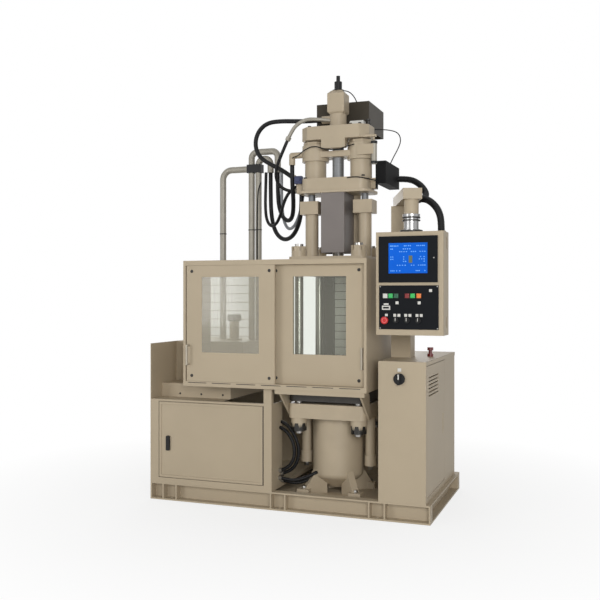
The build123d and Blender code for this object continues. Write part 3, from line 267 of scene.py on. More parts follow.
mark = lit_surface("mark", screen_mark, 0.2, 0.2, mottle=0.03)
pane = clear_pane("pane", pane_tint, 0.10)
# Left pane: light tint plus painted reflection in its pale share
tint_and_reflection_pane = clear_pane("tint_and_reflection_pane", tint_and_reflection_beige, 0.42)

# Places on the press that more than one piece needs
press_axis = (0.226, -0.130)
bar_half = 0.175
bar_clear = 0.026
bar_end = 0.462
nut_top = 1.464
strap_place = (-0.4165, 0.150, 1.990)
strap_half = (0.05, 0.028)
sensor_x = 0.459
sensor_inset = 0.0170
box_reach = 0.062
lamp_foot = 0.001
control_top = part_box("panel_arm")[0][2]
box_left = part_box("drive_guard")[1][0] + box_reach
head_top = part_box("drive_guard")[0][2]

finishes = {
    paint: ("base_frame", "hydraulic_cabinet", "tank_cover", "guard_frame", "control_cabinet", "panel_arm",
            "left_door", "right_door", "cabinet_door", "side_door", "panel_box"),
    zinc: ("oil_pipes", "stroke_sensor"),
    cast_paint: ("main_cylinder", "bed_platen", "lift_jacks", "upper_platen", "unit_cylinders",
                 "injection_base", "injection_cylinders", "cylinder_yoke", "crosshead", "feed_motor"),
    bare_steel: ("tie_bars", "nozzle_barrel"),
    dark_plate: ("moving_platen", "lower_hot_plate", "upper_hot_plate"),
    plated: ("clamp_ram", "panel_swivel"),
    ground_steel: ("unit_rods", "piston_rods"),
    box_black: ("junction_box",),
    grey_cover: ("barrel_cover",),
    hood_sheet: ("drive_guard",),
    plastic: ("encoder", "cabinet_latch", "disconnect_switch", "selector_1", "selector_2", "selector_3"),
    gloss_black: ("button_plate", "panel_terminal"),
    motor_grey: ("pump_motor",),
    handle_paint: ("left_handle", "right_handle"),
    tint_and_reflection_pane: ("left_window",),
    pane: ("right_window",),
    stop_face: ("stop_button",),
}


def dress(node, made):
    """Give one solid node its finish."""
    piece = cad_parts[node]
    piece.data.materials.clear()
    piece.data.materials.append(made)


def dress_where(node, made, chosen):
    """Give the faces of a node whose middle is in a chosen place another finish."""
    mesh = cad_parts[node].data
    mesh.materials.append(made)
    for face in mesh.polygons:
        if chosen(face.center):
            face.material_index = len(mesh.materials) - 1


def around_press(half_x, half_y, z):
    """Four places about the axis of the press."""
    return [(press_axis[0] + sx * half_x, press_axis[1] + sy * half_y, z) for sx in (-1, 1) for sy in (-1, 1)]


def off_bars(spot):
    """Whether a place lies outside all four tie bars."""
    bars = around_press(bar_half, bar_half, spot.z)
    return min((spot - Vector(bar)).length for bar in bars) > bar_clear


def on_strap(spot):
    """Whether a place lies on the strap of the oil pipes."""
    return abs(spot.x - strap_place[0]) < strap_half[0] and abs(spot.z - strap_place[2]) < strap_half[1]


def paint_gap_shade(door, wall, made, reach):
    """Painted shade: dark faces in the narrow gap between a door's rim and its wall, seen from the front."""
    low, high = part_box(door)

    def in_gap(spot):
        off_x = min(abs(spot.x - low[0]), abs(spot.x - high[0]))
        off_z = min(abs(spot.z - low[2]), abs(spot.z - high[2]))
        inside = low[0] - reach < spot.x < high[0] + reach and low[2] - reach < spot.z < high[2] + reach
        return inside and min(off_x, off_z) < reach and spot.y > low[1] + skin

    for node in (door, wall):
        dress_where(node, made, in_gap)


for made, names in finishes.items():
    for node_name in names:
        dress(node_name, made)
for button, colour in button_colours.items():
    button_face = surface(button + "_face", colour, 0.26, mottle=0.06, mottle_scale=60.0, grain=0.02,
                          coat=0.3)
    dress(button, button_face)
dress_where("control_cabinet", red_lamp, lambda spot: spot.z > control_top + lamp_foot)
dress_where("tie_bars", cast_paint, off_bars)
dress_where("tie_bars", bolt_and_gap_shade_finish, lambda spot: spot.z < bar_end or spot.z > nut_top)
dress_where("stroke_sensor", cast_paint, lambda spot: spot.x < sensor_x - sensor_inset)
dress_where("junction_box", paint, lambda spot: spot.x < box_left - skin)
dress_where("oil_pipes", plastic, on_strap)
# Painted shade in the gap round the cabinet door, in the dark bolt finish
seam_reach = 0.0034
paint_gap_shade("cabinet_door", "hydraulic_cabinet", bolt_and_gap_shade_finish, seam_reach)


def keep(name, shape, made, body, smooth=True):
    """Turn a bmesh into a piece with one finish that rides on a body."""
    mesh = bpy.data.meshes.new(name)
    bmesh.ops.recalc_face_normals(shape, faces=shape.faces)
    shape.to_mesh(mesh)
    shape.free()
    for face in mesh.polygons:
        face.use_smooth = smooth
    piece = bpy.data.objects.new(name, mesh)
    bpy.context.collection.objects.link(piece)
    if smooth:
        mesh.set_sharp_from_angle(angle=smooth_limit)
    mesh.materials.append(made)
    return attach(piece, body)


def add_box(shape, low, high, round_off=soft_edge):
    """Box with softened edges between two corners."""
    middle = [(a + b) / 2 for a, b in zip(low, high)]
    size = [b - a for a, b in zip(low, high)]
    matrix = Matrix.Translation(middle) @ Matrix.Diagonal((*size, 1))
    made = bmesh.ops.create_cube(shape, size=1, matrix=matrix)
    edges = {edge for corner in made["verts"] for edge in corner.link_edges}
    limit = min(size) / 3
    bmesh.ops.bevel(shape, geom=list(edges), offset=min(round_off, limit), segments=2, affect="EDGES")


def boxes(name, corners, made, body, round_off=soft_edge, smooth=True):
    """One piece made of boxes, each as its two corners."""
    shape = bmesh.new()
    for low, high in corners:
        add_box(shape, low, high, round_off)
    return keep(name, shape, made, body, smooth)


def add_turned(shape, place, axis, profile, sides=ring_sides, hollow=False):
    """Turned body: (radius, height) pairs from the seat along an axis, closed to a ring if hollow."""
    turn = Vector(upward).rotation_difference(Vector(axis)).to_matrix().to_4x4()
    matrix = Matrix.Translation(place) @ turn
    rings = []
    for radius, height in profile:
        ring = []
        for index in range(sides):
            angle = 2 * math.pi * index / sides
            spot = Vector((radius * math.cos(angle), radius * math.sin(angle), height))
            ring.append(shape.verts.new(matrix @ spot))
        rings.append(ring)
    for lower, upper in zip(rings, rings[1:] + rings[:1] if hollow else rings[1:]):
        for index in range(sides):
            after = (index + 1) % sides
            shape.faces.new((lower[index], lower[after], upper[after], upper[index]))
    if not hollow:
        shape.faces.new(rings[0])
        shape.faces.new(rings[-1])


def turned(name, places, axis, profile, made, body, sides=ring_sides, hollow=False):
    """One piece made of equal turned bodies."""
    shape = bmesh.new()
    for place in places:
        add_turned(shape, place, axis, profile, sides, hollow)
    return keep(name, shape, made, body)


def cap_profile(radius, height):
    """Socket screw head."""
    return [(radius, 0), (radius, 0.82 * height), (0.9 * radius, height), (0.52 * radius, height),
            (0.46 * radius, 0.5 * height), (0.05 * radius, 0.45 * height)]


def pan_profile(radius, height):
    """Low pan screw head."""
    return [(radius, 0), (radius, 0.35 * height), (0.8 * radius, 0.8 * height), (0.45 * radius, height),
            (0.2 * radius, 0.9 * height), (0.05 * radius, 0.55 * height)]


def hex_profile(radius, height):
    """Hexagon head."""
    return [(radius, 0), (radius, 0.85 * height), (0.88 * radius, height), (0.05 * radius, height)]


def ring_profile(inner, outer, height, crown=0.0):
    """Ring round a tube, its inner edge raised by a crown at the far end."""
    return [(inner, 0), (outer, 0), (outer, height), (inner, height + crown)]


def rim_spots(node, inset):
    """Places on the front of a node near its four corners."""
    low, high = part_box(node)
    across = (low[0] + inset, high[0] - inset)
    up = (low[2] + inset, high[2] - inset)
    return [(x, low[1], z) for x in across for z in up]


def box_middle(node):
    """Middle of a node's box, across and up."""
    low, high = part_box(node)
    return (low[0] + high[0]) / 2, (low[2] + high[2]) / 2


def spline(name, points):
    """Smooth open curve with given control points."""
    curve = bpy.data.curves.new(name, "CURVE")
    curve.dimensions = "3D"
    curve.resolution_u = curve_steps
    line = curve.splines.new("NURBS")
    line.points.add(len(points) - 1)
    for spot, place in zip(line.points, points):
        spot.co = (*place, 1)
    line.order_u = 3
    line.use_endpoint_u = True
    piece = bpy.data.objects.new(name, curve)
    bpy.context.collection.objects.link(piece)
    return piece


def centre_line(name, points):
    """Points along the smooth curve, in order, with the curve itself removed again."""
    guide = spline(name + "_guide", points)
    bpy.context.view_layer.update()
    mesh = bpy.data.meshes.new_from_object(guide.evaluated_get(bpy.context.evaluated_depsgraph_get()))
    line = [corner.co.copy() for corner in mesh.vertices]
    bpy.data.meshes.remove(mesh)
    curve = guide.data
    bpy.data.objects.remove(guide)
    bpy.data.curves.remove(curve)
    return line


def even_steps(line, step):
    """Points at equal steps along a line."""
    out = [line[0].copy()]
    left_over = step
    for start, end in zip(line, line[1:]):
        run = (end - start).length
        done = 0.0
        while run - done >= left_over:
            done += left_over
            out.append(start.lerp(end, done / run))
            left_over = step
        left_over -= run - done
    if (out[-1] - line[-1]).length > step / 4:
        out.append(line[-1].copy())
    return out


def hose_mesh(name, line, radius_at, made):
    """Tube swept along a line, its radius given for each step, without twist."""
    shape = bmesh.new()
    rings = []
    ahead = (line[1] - line[0]).normalized()
    side = ahead.orthogonal().normalized()
    for index, spot in enumerate(line):
        before = line[max(index - 1, 0)]
        after = line[min(index + 1, len(line) - 1)]
        bent = (after - before).normalized()
        side = (ahead.rotation_difference(bent) @ side).normalized()
        ahead = bent
        up = ahead.cross(side)
        ring = []
        for corner in range(tube_sides):
            angle = 2 * math.pi * corner / tube_sides
            outward = math.cos(angle) * side + math.sin(angle) * up
            ring.append(shape.verts.new(spot + radius_at(index) * outward))
        rings.append(ring)
    for lower, upper in zip(rings, rings[1:]):
        for corner in range(tube_sides):
            after = (corner + 1) % tube_sides
            shape.faces.new((lower[corner], lower[after], upper[after], upper[corner]))
    shape.faces.new(rings[0])
    shape.faces.new(rings[-1])
    bmesh.ops.recalc_face_normals(shape, faces=shape.faces)
    mesh = bpy.data.meshes.new(name)
    shape.to_mesh(mesh)
    shape.free()
    for face in mesh.polygons:
        face.use_smooth = len(face.vertices) == 4
    mesh.materials.append(made)
    piece = bpy.data.objects.new(name, mesh)
    bpy.context.collection.objects.link(piece)
    return piece


def cord(node, points, diameter, ringed):
    """Hose or ringed conduit swept along a smooth line, standing for its solid node, which it hides."""
    line = centre_line(node, points)
    steps = even_steps(line, ring_pitch / 4 if ringed else diameter / 2)
    groove = ring_groove if ringed else 0.0

    def radius_at(index):
        return diameter / 2 - groove * (1 - math.cos(index * math.pi / 2)) / 2

    piece = hose_mesh(node + "_tube", steps, radius_at, rubber)
    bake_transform(piece)
    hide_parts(node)
    return piece


cord("arc_hose", arc_route, hose_diameter, False)
cord("supply_hose", supply_route, hose_diameter, False)
cord("return_hose", return_route, hose_diameter, False)
cord("conduit_upper", upper_conduit_route, conduit_diameter, True)
cord("conduit_lower", lower_conduit_route, conduit_diameter, True)

# Screws of the guard doors, four to a door
door_screw_inset = 0.032
door_screw = pan_profile(0.009, 0.004)
for door, body in (("left_door", "front_door"), ("right_door", "rear_door")):
    door_spots = rim_spots(door, door_screw_inset)
    turned(door + "_screws", door_spots, forward, door_screw, bolt_and_gap_shade_finish, body, screw_sides)

# Screen face: plain bars, boxes and a grid of readings without words
terminal_low, terminal_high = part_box("panel_terminal")
screen_size = (0.205, 0.158)
screen_rise = 0.006
screen_depth = 0.003
screen_thick = 0.0003
mark_proud = 0.0007
mark_sunk = 0.0002
screen_x = (terminal_low[0] + terminal_high[0]) / 2
screen_z = (terminal_low[2] + terminal_high[2]) / 2 + screen_rise
screen_y = terminal_low[1] + screen_depth


def screen_place(u, v):
    """Point on the screen from shares of its width and height, measured from its upper left corner."""
    return screen_x + (u - 0.5) * screen_size[0], screen_z + (0.5 - v) * screen_size[1]


def screen_marks(name, marks, made, proud, sunk):
    """Flat bars on the screen, each as left, top, right and bottom shares."""
    corners = []
    for left, top, right, bottom in marks:
        x0, z1 = screen_place(left, top)
        x1, z0 = screen_place(right, bottom)
        corners.append(((x0, screen_y - proud, z0), (x1, screen_y - sunk, z1)))
    return boxes(name, corners, made, "panel", crisp_edge, smooth=False)


# Readings: top shares of the rows, and in each the left shares of the cells
reading_shares = {
    0.085: (0.04, 0.07, 0.10, 0.14, 0.18, 0.23, 0.40, 0.44, 0.50, 0.55, 0.72, 0.76, 0.81, 0.86, 0.90),
    0.185: (0.05, 0.09, 0.37, 0.42, 0.48, 0.54),
    0.275: (0.28, 0.33, 0.39, 0.45, 0.58, 0.63, 0.68, 0.80, 0.86, 0.92),
    0.445: (0.05, 0.10, 0.38, 0.81, 0.90),
    0.520: (0.05, 0.10, 0.38, 0.78, 0.84, 0.90),
    0.595: (0.38, 0.43, 0.90),
    0.720: (0.22, 0.28, 0.35, 0.42, 0.58, 0.64, 0.76, 0.82, 0.87, 0.92),
    0.900: (0.05, 0.09, 0.13, 0.20, 0.28, 0.70, 0.74, 0.78, 0.92),
}
cell_width_share = 0.026
cell_height_share = 0.030
value_shares = (0.52, 0.42, 0.615, 0.655)
cells = [(left, top, left + cell_width_share, top + cell_height_share)
         for top, lefts in reading_shares.items() for left in lefts]
screen_marks("screen_face", [(0, 0, 1, 1)], screen, screen_thick, 0)
screen_marks("screen_readings", cells, ink, mark_proud, mark_sunk)
screen_marks("screen_values", [value_shares], mark, mark_proud, mark_sunk)

# Button plate: plain label plates, a port, corner screws, pointers and a lamp on the bezel
plate_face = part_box("button_plate")[0][1]
plate_x, plate_z = box_middle("button_plate")
stop_x, stop_z = box_middle("stop_button")
selectors = ("selector_1", "selector_2", "selector_3")
label_edge = 0.0006
label_proud = 0.0006
label_size = (0.016, 0.015)
label_shifts = ((-0.060, 0.024), (0.056, 0.024), (0.115, 0.087))
selector_label = (0.015, 0.015)
selector_label_shifts = ((-0.006, 0.026), (0.016, 0.026))
stop_label = (0.015, 0.013)
stop_label_shift = (0.006, 0.027)
port_shift = (-0.118, -0.002)
port_size = (0.044, 0.022)
port_proud = 0.003
port_slot = (0.032, 0.010)
port_slot_proud = 0.0036
port_label = (0.026, 0.008)
port_label_shift = (-0.118, 0.017)
plate_screw_inset = 0.006
plate_screw = pan_profile(0.0035, 0.002)
bezel_lamp_inset = 0.019
bezel_lamp = [(0.003, 0), (0.003, 0.001), (0.001, 0.0018)]
pointer_half = 0.0016
pointer_reach = (0.018, 0.001)
pointer_proud = 0.0005
pointer_sunk = 0.0002


def plate_boxes(name, labels, made, proud):
    """Small flat plates on the button plate, each as a middle, a shift from it and a size."""
    corners = []
    for (x, z), (shift_x, shift_z), (width, height) in labels:
        low = (x + shift_x - width / 2, plate_face - proud, z + shift_z - height / 2)
        corners.append((low, (low[0] + width, plate_face, low[2] + height)))
    return boxes(name, corners, made, "panel", label_edge)


plate_middle = (plate_x, plate_z)
labels = [(plate_middle, shift, label_size) for shift in label_shifts]
labels += [(box_middle(node), shift, selector_label) for node in selectors for shift in selector_label_shifts]
labels += [((stop_x, stop_z), stop_label_shift, stop_label), (plate_middle, port_label_shift, port_label)]
plate_boxes("control_labels", labels, label_plate, label_proud)
plate_boxes("port_frame", [(plate_middle, port_shift, port_size)], label_plate, port_proud)
plate_boxes("port_slot", [(plate_middle, port_shift, port_slot)], gloss_black, port_slot_proud)
plate_corners = rim_spots("button_plate", plate_screw_inset)
turned("plate_screws", plate_corners, forward, plate_screw, fastener, "panel", small_sides)
bezel_lamp_place = (terminal_high[0] - bezel_lamp_inset, terminal_low[1], screen_z)
turned("terminal_lamp", [bezel_lamp_place], forward, bezel_lamp, label_plate, "panel", small_sides)
for node_name in selectors:
    low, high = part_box(node_name)
    x = (low[0] + high[0]) / 2
    pointer_low = (x - pointer_half, low[1] - pointer_proud, high[2] - pointer_reach[0])
    pointer_high = (x + pointer_half, low[1] + pointer_sunk, high[2] - pointer_reach[1])
    pointer = [(pointer_low, pointer_high)]
    boxes(node_name + "_pointer", pointer, label_plate, node_name, crisp_edge, smooth=False)

# Stop button's ring, bands on the swivel and hinges on the panel's side; the hinges are in the darker beige
# of painted shade
stop_low, stop_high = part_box("stop_button")
stop_radius = (stop_high[0] - stop_low[0]) / 2
stop_ring_shares = ((0.50, 0), (0.72, 0), (0.70, 1), (0.52, 1))
stop_ring_height = 0.0012
stop_ring = [(share * stop_radius, rise * stop_ring_height) for share, rise in stop_ring_shares]
stop_place = (stop_x, stop_low[1], stop_z)
turned("stop_ring", [stop_place], forward, stop_ring, stop_trim, "stop_button", round_sides, True)
swivel_low, swivel_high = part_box("panel_swivel")
swivel_x, swivel_y = (swivel_low[0] + swivel_high[0]) / 2, (swivel_low[1] + swivel_high[1]) / 2
swivel_radius = (swivel_high[0] - swivel_low[0]) / 2
swivel_gap = 0.0004
swivel_rings = ((0, 0.014, 0.010), (0.058, 0.002, 0.006), (0.072, 0.002, 0.006))
bands = bmesh.new()
for rise, reach, height in swivel_rings:
    profile = ring_profile(swivel_radius + swivel_gap, swivel_radius + reach, height)
    add_turned(bands, (swivel_x, swivel_y, swivel_low[2] + rise), upward, profile, band_sides, True)
keep("swivel_bands", bands, bolt_and_gap_shade_finish, "panel")
panel_low, panel_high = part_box("panel_box")
hinge_shares = (0.12, 0.88)
hinge_half = 0.030
hinge_thick = 0.003
hinge_inset = (0.060, 0.038)
hinge_heights = [panel_low[2] + share * (panel_high[2] - panel_low[2]) for share in hinge_shares]
hinges = [((panel_high[0], panel_high[1] - hinge_inset[0], z - hinge_half),
           (panel_high[0] + hinge_thick, panel_high[1] - hinge_inset[1], z + hinge_half))
          for z in hinge_heights]
boxes("panel_hinges", hinges, painted_shade_paint, "panel")

# Guard: slots in the lower rail as thin dark boxes, whose darkness is painted shade, and screws on the step
# before the tank
guard_low, guard_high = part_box("guard_frame")
slot_count = 7
slot_margin = 0.03
slot_gap = 0.034
slot_z = (0.691, 0.6945)
slot_edge = 0.0002
slot_proud = 0.0006
slot_sunk = 0.001
slot_pitch = (guard_high[0] - guard_low[0] - slot_margin) / slot_count
slot_lefts = [guard_low[0] + slot_margin + index * slot_pitch for index in range(slot_count)]
slots = [((left, guard_low[1] - slot_proud, slot_z[0]),
          (left + slot_pitch - slot_gap, guard_low[1] + slot_sunk, slot_z[1])) for left in slot_lefts]
boxes("rail_slots", slots, bolt_and_gap_shade_finish, "frame", slot_edge, smooth=False)
step_face = -0.314
step_screw_z = 0.606
step_screw_x = (-0.70, -0.56, -0.42)
sheet_screw = pan_profile(0.006, 0.003)
step_spots = [(x, step_face, step_screw_z) for x in step_screw_x]
turned("step_screws", step_spots, forward, sheet_screw, bolt_and_gap_shade_finish, "frame", sheet_sides)

# Control cabinet: lid lip, a plain plate over the main switch and a mark on its grip
control_low, control_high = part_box("control_cabinet")
lip_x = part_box("side_door")[1][0]
lip_height = 0.021
lip_thick = 0.0025
lip_edge = 0.0008
lip_low = (lip_x, control_low[1], control_top - lip_height)
boxes("lid_lip", [(lip_low, (lip_x + lip_thick, control_high[1], control_top))], paint, "frame", lip_edge)
switch_x, switch_z = box_middle("disconnect_switch")
switch_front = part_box("disconnect_switch")[0][1]
tag_half = 0.010
tag_thick = 0.001
tag_edge = 0.0004
tag_rise = (0.038, 0.056)
tag_low = (switch_x - tag_half, control_low[1] - tag_thick, switch_z + tag_rise[0])
tag_high = (switch_x + tag_half, control_low[1], switch_z + tag_rise[1])
boxes("switch_tag", [(tag_low, tag_high)], label_plate, "frame", tag_edge)
grip_mark_half = 0.003
grip_mark_rise = (-0.002, 0.026)
grip_mark_low = (switch_x - grip_mark_half, switch_front - pointer_proud, switch_z + grip_mark_rise[0])
grip_mark_high = (switch_x + grip_mark_half, switch_front + pointer_sunk, switch_z + grip_mark_rise[1])
boxes("switch_mark", [(grip_mark_low, grip_mark_high)], label_plate, "main_switch", crisp_edge, smooth=False)

# Press: foot bolts, and screws on the base plate, the crosshead and the upper platen's face
foot_half = 0.150
foot_top = 0.098
base_half = (0.172, 0.080)
base_top = 1.855
head_bolt_y = -0.072
head_bolt_x = (-0.095, -0.150, 0.095, 0.150)
platen_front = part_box("upper_platen")[0][1]
platen_screw_z = 1.370
platen_screw_x = (-0.150, -0.05, 0.05, 0.150)
foot_bolt = hex_profile(0.013, 0.013)
plate_bolt = cap_profile(0.010, 0.010)
platen_screw = cap_profile(0.008, 0.006)
head_spots = [(press_axis[0] + x, press_axis[1] + head_bolt_y, head_top) for x in head_bolt_x]
platen_spots = [(press_axis[0] + x, platen_front, platen_screw_z) for x in platen_screw_x]
foot_spots = around_press(foot_half, foot_half, foot_top)
turned("foot_bolts", foot_spots, upward, foot_bolt, fastener, "frame", hex_sides)
turned("base_bolts", around_press(*base_half, base_top), upward, plate_bolt, bolt_and_gap_shade_finish, "unit", screw_sides)
turned("head_bolts", head_spots, upward, plate_bolt, bolt_and_gap_shade_finish, "head", screw_sides)
turned("platen_screws", platen_spots, forward, platen_screw, bolt_and_gap_shade_finish, "frame", screw_sides)

# Slatted shield behind the press, between two posts on the bed and the upper platen; the posts and the sheet
# behind the slats are dark brown as painted shade
rear_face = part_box("upper_platen")[1][1]
shield_low, shield_high = 0.540, 1.390
shield_half = 0.173
post_width = 0.077
post_depth = 0.028
back_sheet = (0.0145, 0.018)
back_sheet_edge = 0.0008
slat_pitch = 0.048
slat_gap = 0.003
slat_depth = (0.006, 0.014)
slat_edge = 0.001
shield_left, shield_right = press_axis[0] - shield_half, press_axis[0] + shield_half
slat_left, slat_right = shield_left + post_width, shield_right - post_width
posts = bmesh.new()
for left, right in ((shield_left, slat_left), (slat_right, shield_right)):
    add_box(posts, (left, rear_face, shield_low), (right, rear_face + post_depth, shield_high))
add_box(posts, (slat_left, rear_face + back_sheet[0], shield_low),
        (slat_right, rear_face + back_sheet[1], shield_high), back_sheet_edge)
keep("shield_posts", posts, painted_shade_shield, "frame")
slat_count = int((shield_high - shield_low) / slat_pitch)
slat_feet = [shield_low + index * slat_pitch for index in range(slat_count)]
slats = [((slat_left, rear_face + slat_depth[0], z),
          (slat_right, rear_face + slat_depth[1], z + slat_pitch - slat_gap)) for z in slat_feet]
boxes("shield_slats", slats, slat_sheet, "frame", slat_edge)

# Tank: filler neck with its cap
tank_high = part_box("tank_cover")[1]
cabinet_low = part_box("hydraulic_cabinet")[0]
filler_spot = (-0.520, 0.060)
neck_height = 0.120
neck_profile = [(0.046, 0), (0.046, 0.008), (0.030, 0.010), (0.030, neck_height)]
filler_cap = [(0.034, 0), (0.044, 0.003), (0.044, 0.030), (0.038, 0.040), (0.012, 0.044)]
turned("filler_neck", [(*filler_spot, tank_high[2])], upward, neck_profile, cast_paint, "frame", round_sides)
neck_end = (*filler_spot, tank_high[2] + neck_height)
turned("filler_cap", [neck_end], upward, filler_cap, plastic, "frame", round_sides)

# Cover plates with screws on the sides that the photograph hides
cover_gap = 0.06
cover_thick = 0.0025
cover_edge = 0.001
cover_drop = 0.40
cover_screw_inset = 0.02
cover_screw_side = 0.08
cover_top = tank_high[2] - cover_drop
cover_foot = cabinet_low[2] + cover_gap
side_cover = ((cabinet_low[0] - cover_thick, cabinet_low[1] + cover_gap, cover_foot),
              (cabinet_low[0], tank_high[1] - cover_gap, cover_top))
rear_cover = ((cabinet_low[0] + cover_gap, tank_high[1], cover_foot),
              (tank_high[0] - cover_gap, tank_high[1] + cover_thick, cover_top))
boxes("rear_covers", [side_cover, rear_cover], paint, "frame", cover_edge)
cover_screw_z = (cover_foot + cover_screw_inset, cover_top - cover_screw_inset)
side_screw_y = (cabinet_low[1] + cover_screw_side, 0, tank_high[1] - cover_screw_side)
rear_screw_middle = -0.60
rear_screw_x = (cabinet_low[0] + cover_screw_side, rear_screw_middle, tank_high[0] - cover_screw_side)
side_spots = [(cabinet_low[0] - cover_thick, y, z) for y in side_screw_y for z in cover_screw_z]
rear_spots = [(x, tank_high[1] + cover_thick, z) for x in rear_screw_x for z in cover_screw_z]
turned("side_cover_screws", side_spots, (-1, 0, 0), sheet_screw, fastener, "frame", sheet_sides)
turned("rear_cover_screws", rear_spots, (0, 1, 0), sheet_screw, fastener, "frame", sheet_sides)

# Louvres of the tank and of the control cabinet, in the darker beige of painted shade
louvre_count = 9
louvre_drop = 0.30
louvre_sunk = 0.001
tank_louvre_pitch = 0.024
tank_louvre_height = 0.009
tank_louvre_proud = 0.005
tank_louvre_edge = 0.002
rear_louvre_x = (-0.72, -0.47)
side_louvre_y = (0.06, 0.30)
control_louvre_pitch = 0.020
control_louvre_height = 0.007
control_louvre_proud = 0.004
control_louvre_edge = 0.0015
control_louvre_inset = 0.06
louvres = []
for index in range(louvre_count):
    z = tank_high[2] - louvre_drop + index * tank_louvre_pitch
    top = z + tank_louvre_height
    louvres.append(((rear_louvre_x[0], tank_high[1] - louvre_sunk, z),
                    (rear_louvre_x[1], tank_high[1] + tank_louvre_proud, top)))
    louvres.append(((cabinet_low[0] - tank_louvre_proud, side_louvre_y[0], z),
                    (cabinet_low[0] + louvre_sunk, side_louvre_y[1], top)))
boxes("tank_louvres", louvres, painted_shade_paint, "frame", tank_louvre_edge)
control_heights = [control_top - louvre_drop + index * control_louvre_pitch for index in range(louvre_count)]
rear_vents = [((control_low[0] + control_louvre_inset, control_high[1] - louvre_sunk, z),
               (control_high[0] - control_louvre_inset, control_high[1] + control_louvre_proud,
                z + control_louvre_height)) for z in control_heights]
boxes("control_louvres", rear_vents, painted_shade_paint, "frame", control_louvre_edge)

# Injection unit: blue valve, connector blocks, encoder flange, the sensor's caps and bands on the pipes
valve_body = ((-0.034, -0.162, 1.838), (0.014, -0.1298, 1.884))
valve_body_edge = 0.004
valve_lid = ((-0.026, -0.168, 1.848), (0.004, -0.161, 1.874))
valve_lid_edge = 0.002
valve = bmesh.new()
add_box(valve, *valve_body, valve_body_edge)
add_box(valve, *valve_lid, valve_lid_edge)
keep("blue_valve", valve, blue_valve, "unit")
block_x = (0.305, 0.388)
block_y = (-0.168, -0.122)
block_height = 0.030
block_edge = 0.003
block_corners = ((block_x[0], block_y[0], head_top), (block_x[1], block_y[1], head_top + block_height))
boxes("terminal_block", [block_corners], label_plate, "head", block_edge)
plug_spot = (0.405, -0.128)
plug_profile = [(0.018, 0), (0.018, 0.012), (0.012, 0.014), (0.012, 0.030), (0.015, 0.032), (0.015, 0.040),
                (0.002, 0.042)]
turned("head_fitting", [(*plug_spot, head_top)], upward, plug_profile, bolt_and_gap_shade_finish, "head", screw_sides)
flange = ring_profile(0.0225, 0.034, 0.005)
flange_place = (*press_axis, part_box("encoder")[0][2])
turned("encoder_flange", [flange_place], upward, flange, plastic, "head", hollow=True)
sensor_low, sensor_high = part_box("stroke_sensor")
sensor_shift = -0.070
sensor_cap = ring_profile(0.0162, 0.0185, 0.014)
sensor_cap_foot = 0.002
sensor_cap_drop = 0.016
cap_spots = [(sensor_x, press_axis[1] + sensor_shift, z)
             for z in (sensor_low[2] + sensor_cap_foot, sensor_high[2] - sensor_cap_drop)]
turned("sensor_caps", cap_spots, upward, sensor_cap, plastic, "unit", hollow=True)
pipe_band = ring_profile(0.0202, 0.0222, 0.006)
band_places = ((-0.641, 1.580), (-0.393, 1.600), (-0.440, 1.600))
band_spots = [(x, strap_place[1], z) for x, z in band_places]
turned("pipe_bands", band_spots, upward, pipe_band, bolt_and_gap_shade_finish, "frame", hollow=True)

# Lines that the photograph shows beside the main hoses
cable = 0.006
thick_cable = 0.008
slim_hose = 0.019
bore_play = 0.0002
slim_bore = slim_hose / 2 + bore_play
encoder_points = [
    (0.254, -0.112, 2.369), (0.276, -0.100, 2.368), (0.297, -0.078, 2.350), (0.306, -0.050, 2.330),
    (0.308, -0.030, 2.315),
]
yoke_points = [
    (-0.046, -0.162, 1.990), (0.000, -0.186, 1.995), (0.045, -0.212, 2.022), (0.112, -0.230, 2.042),
    (0.176, -0.239, 2.016), (0.254, -0.239, 2.006), (0.302, -0.232, 2.024), (0.345, -0.206, 2.040),
]
base_points = [
    (0.312, -0.2354, 1.848), (0.347, -0.246, 1.850), (0.386, -0.244, 1.848), (0.428, -0.215, 1.840),
    (0.456, -0.165, 1.836), (0.460, -0.130, 1.836),
]
hood_points = [
    (0.482, 0.060, 1.950), (0.500, 0.060, 1.990), (0.530, 0.060, 2.040), (0.552, 0.058, 2.092),
    (0.536, 0.054, 2.138), (0.486, 0.050, 2.156), (0.430, 0.046, 2.162), (0.386, 0.044, 2.166),
]
pipe_points = [
    (-0.374, 0.143, 1.900), (-0.376, 0.126, 1.878), (-0.388, 0.123, 1.830), (-0.391, 0.122, 1.640),
    (-0.391, 0.123, 1.380), (-0.391, 0.122, 1.120), (-0.391, 0.124, 0.907),
]
bay_routes = {
    "bay_hose_1": [(-0.060, -0.300, 0.470), (-0.030, -0.300, 0.462), (0.020, -0.298, 0.405),
                   (0.050, -0.296, 0.320), (0.036, -0.296, 0.235), (-0.020, -0.299, 0.182),
                   (-0.060, -0.302, 0.178)],
    "bay_hose_2": [(-0.060, -0.322, 0.440), (-0.036, -0.322, 0.436), (0.012, -0.322, 0.388),
                   (0.034, -0.322, 0.314), (0.018, -0.322, 0.244), (-0.032, -0.324, 0.202),
                   (-0.060, -0.326, 0.200)],
    "bay_hose_3": [(-0.060, -0.330, 0.158), (-0.020, -0.326, 0.150), (0.030, -0.312, 0.144),
                   (0.075, -0.288, 0.156), (0.110, -0.262, 0.172), (0.138, -0.244, 0.186)],
    "bay_hose_4": [(-0.060, -0.300, 0.140), (-0.020, -0.298, 0.130), (0.030, -0.284, 0.124),
                   (0.068, -0.262, 0.132), (0.098, -0.238, 0.150), (0.120, -0.216, 0.172)],
}
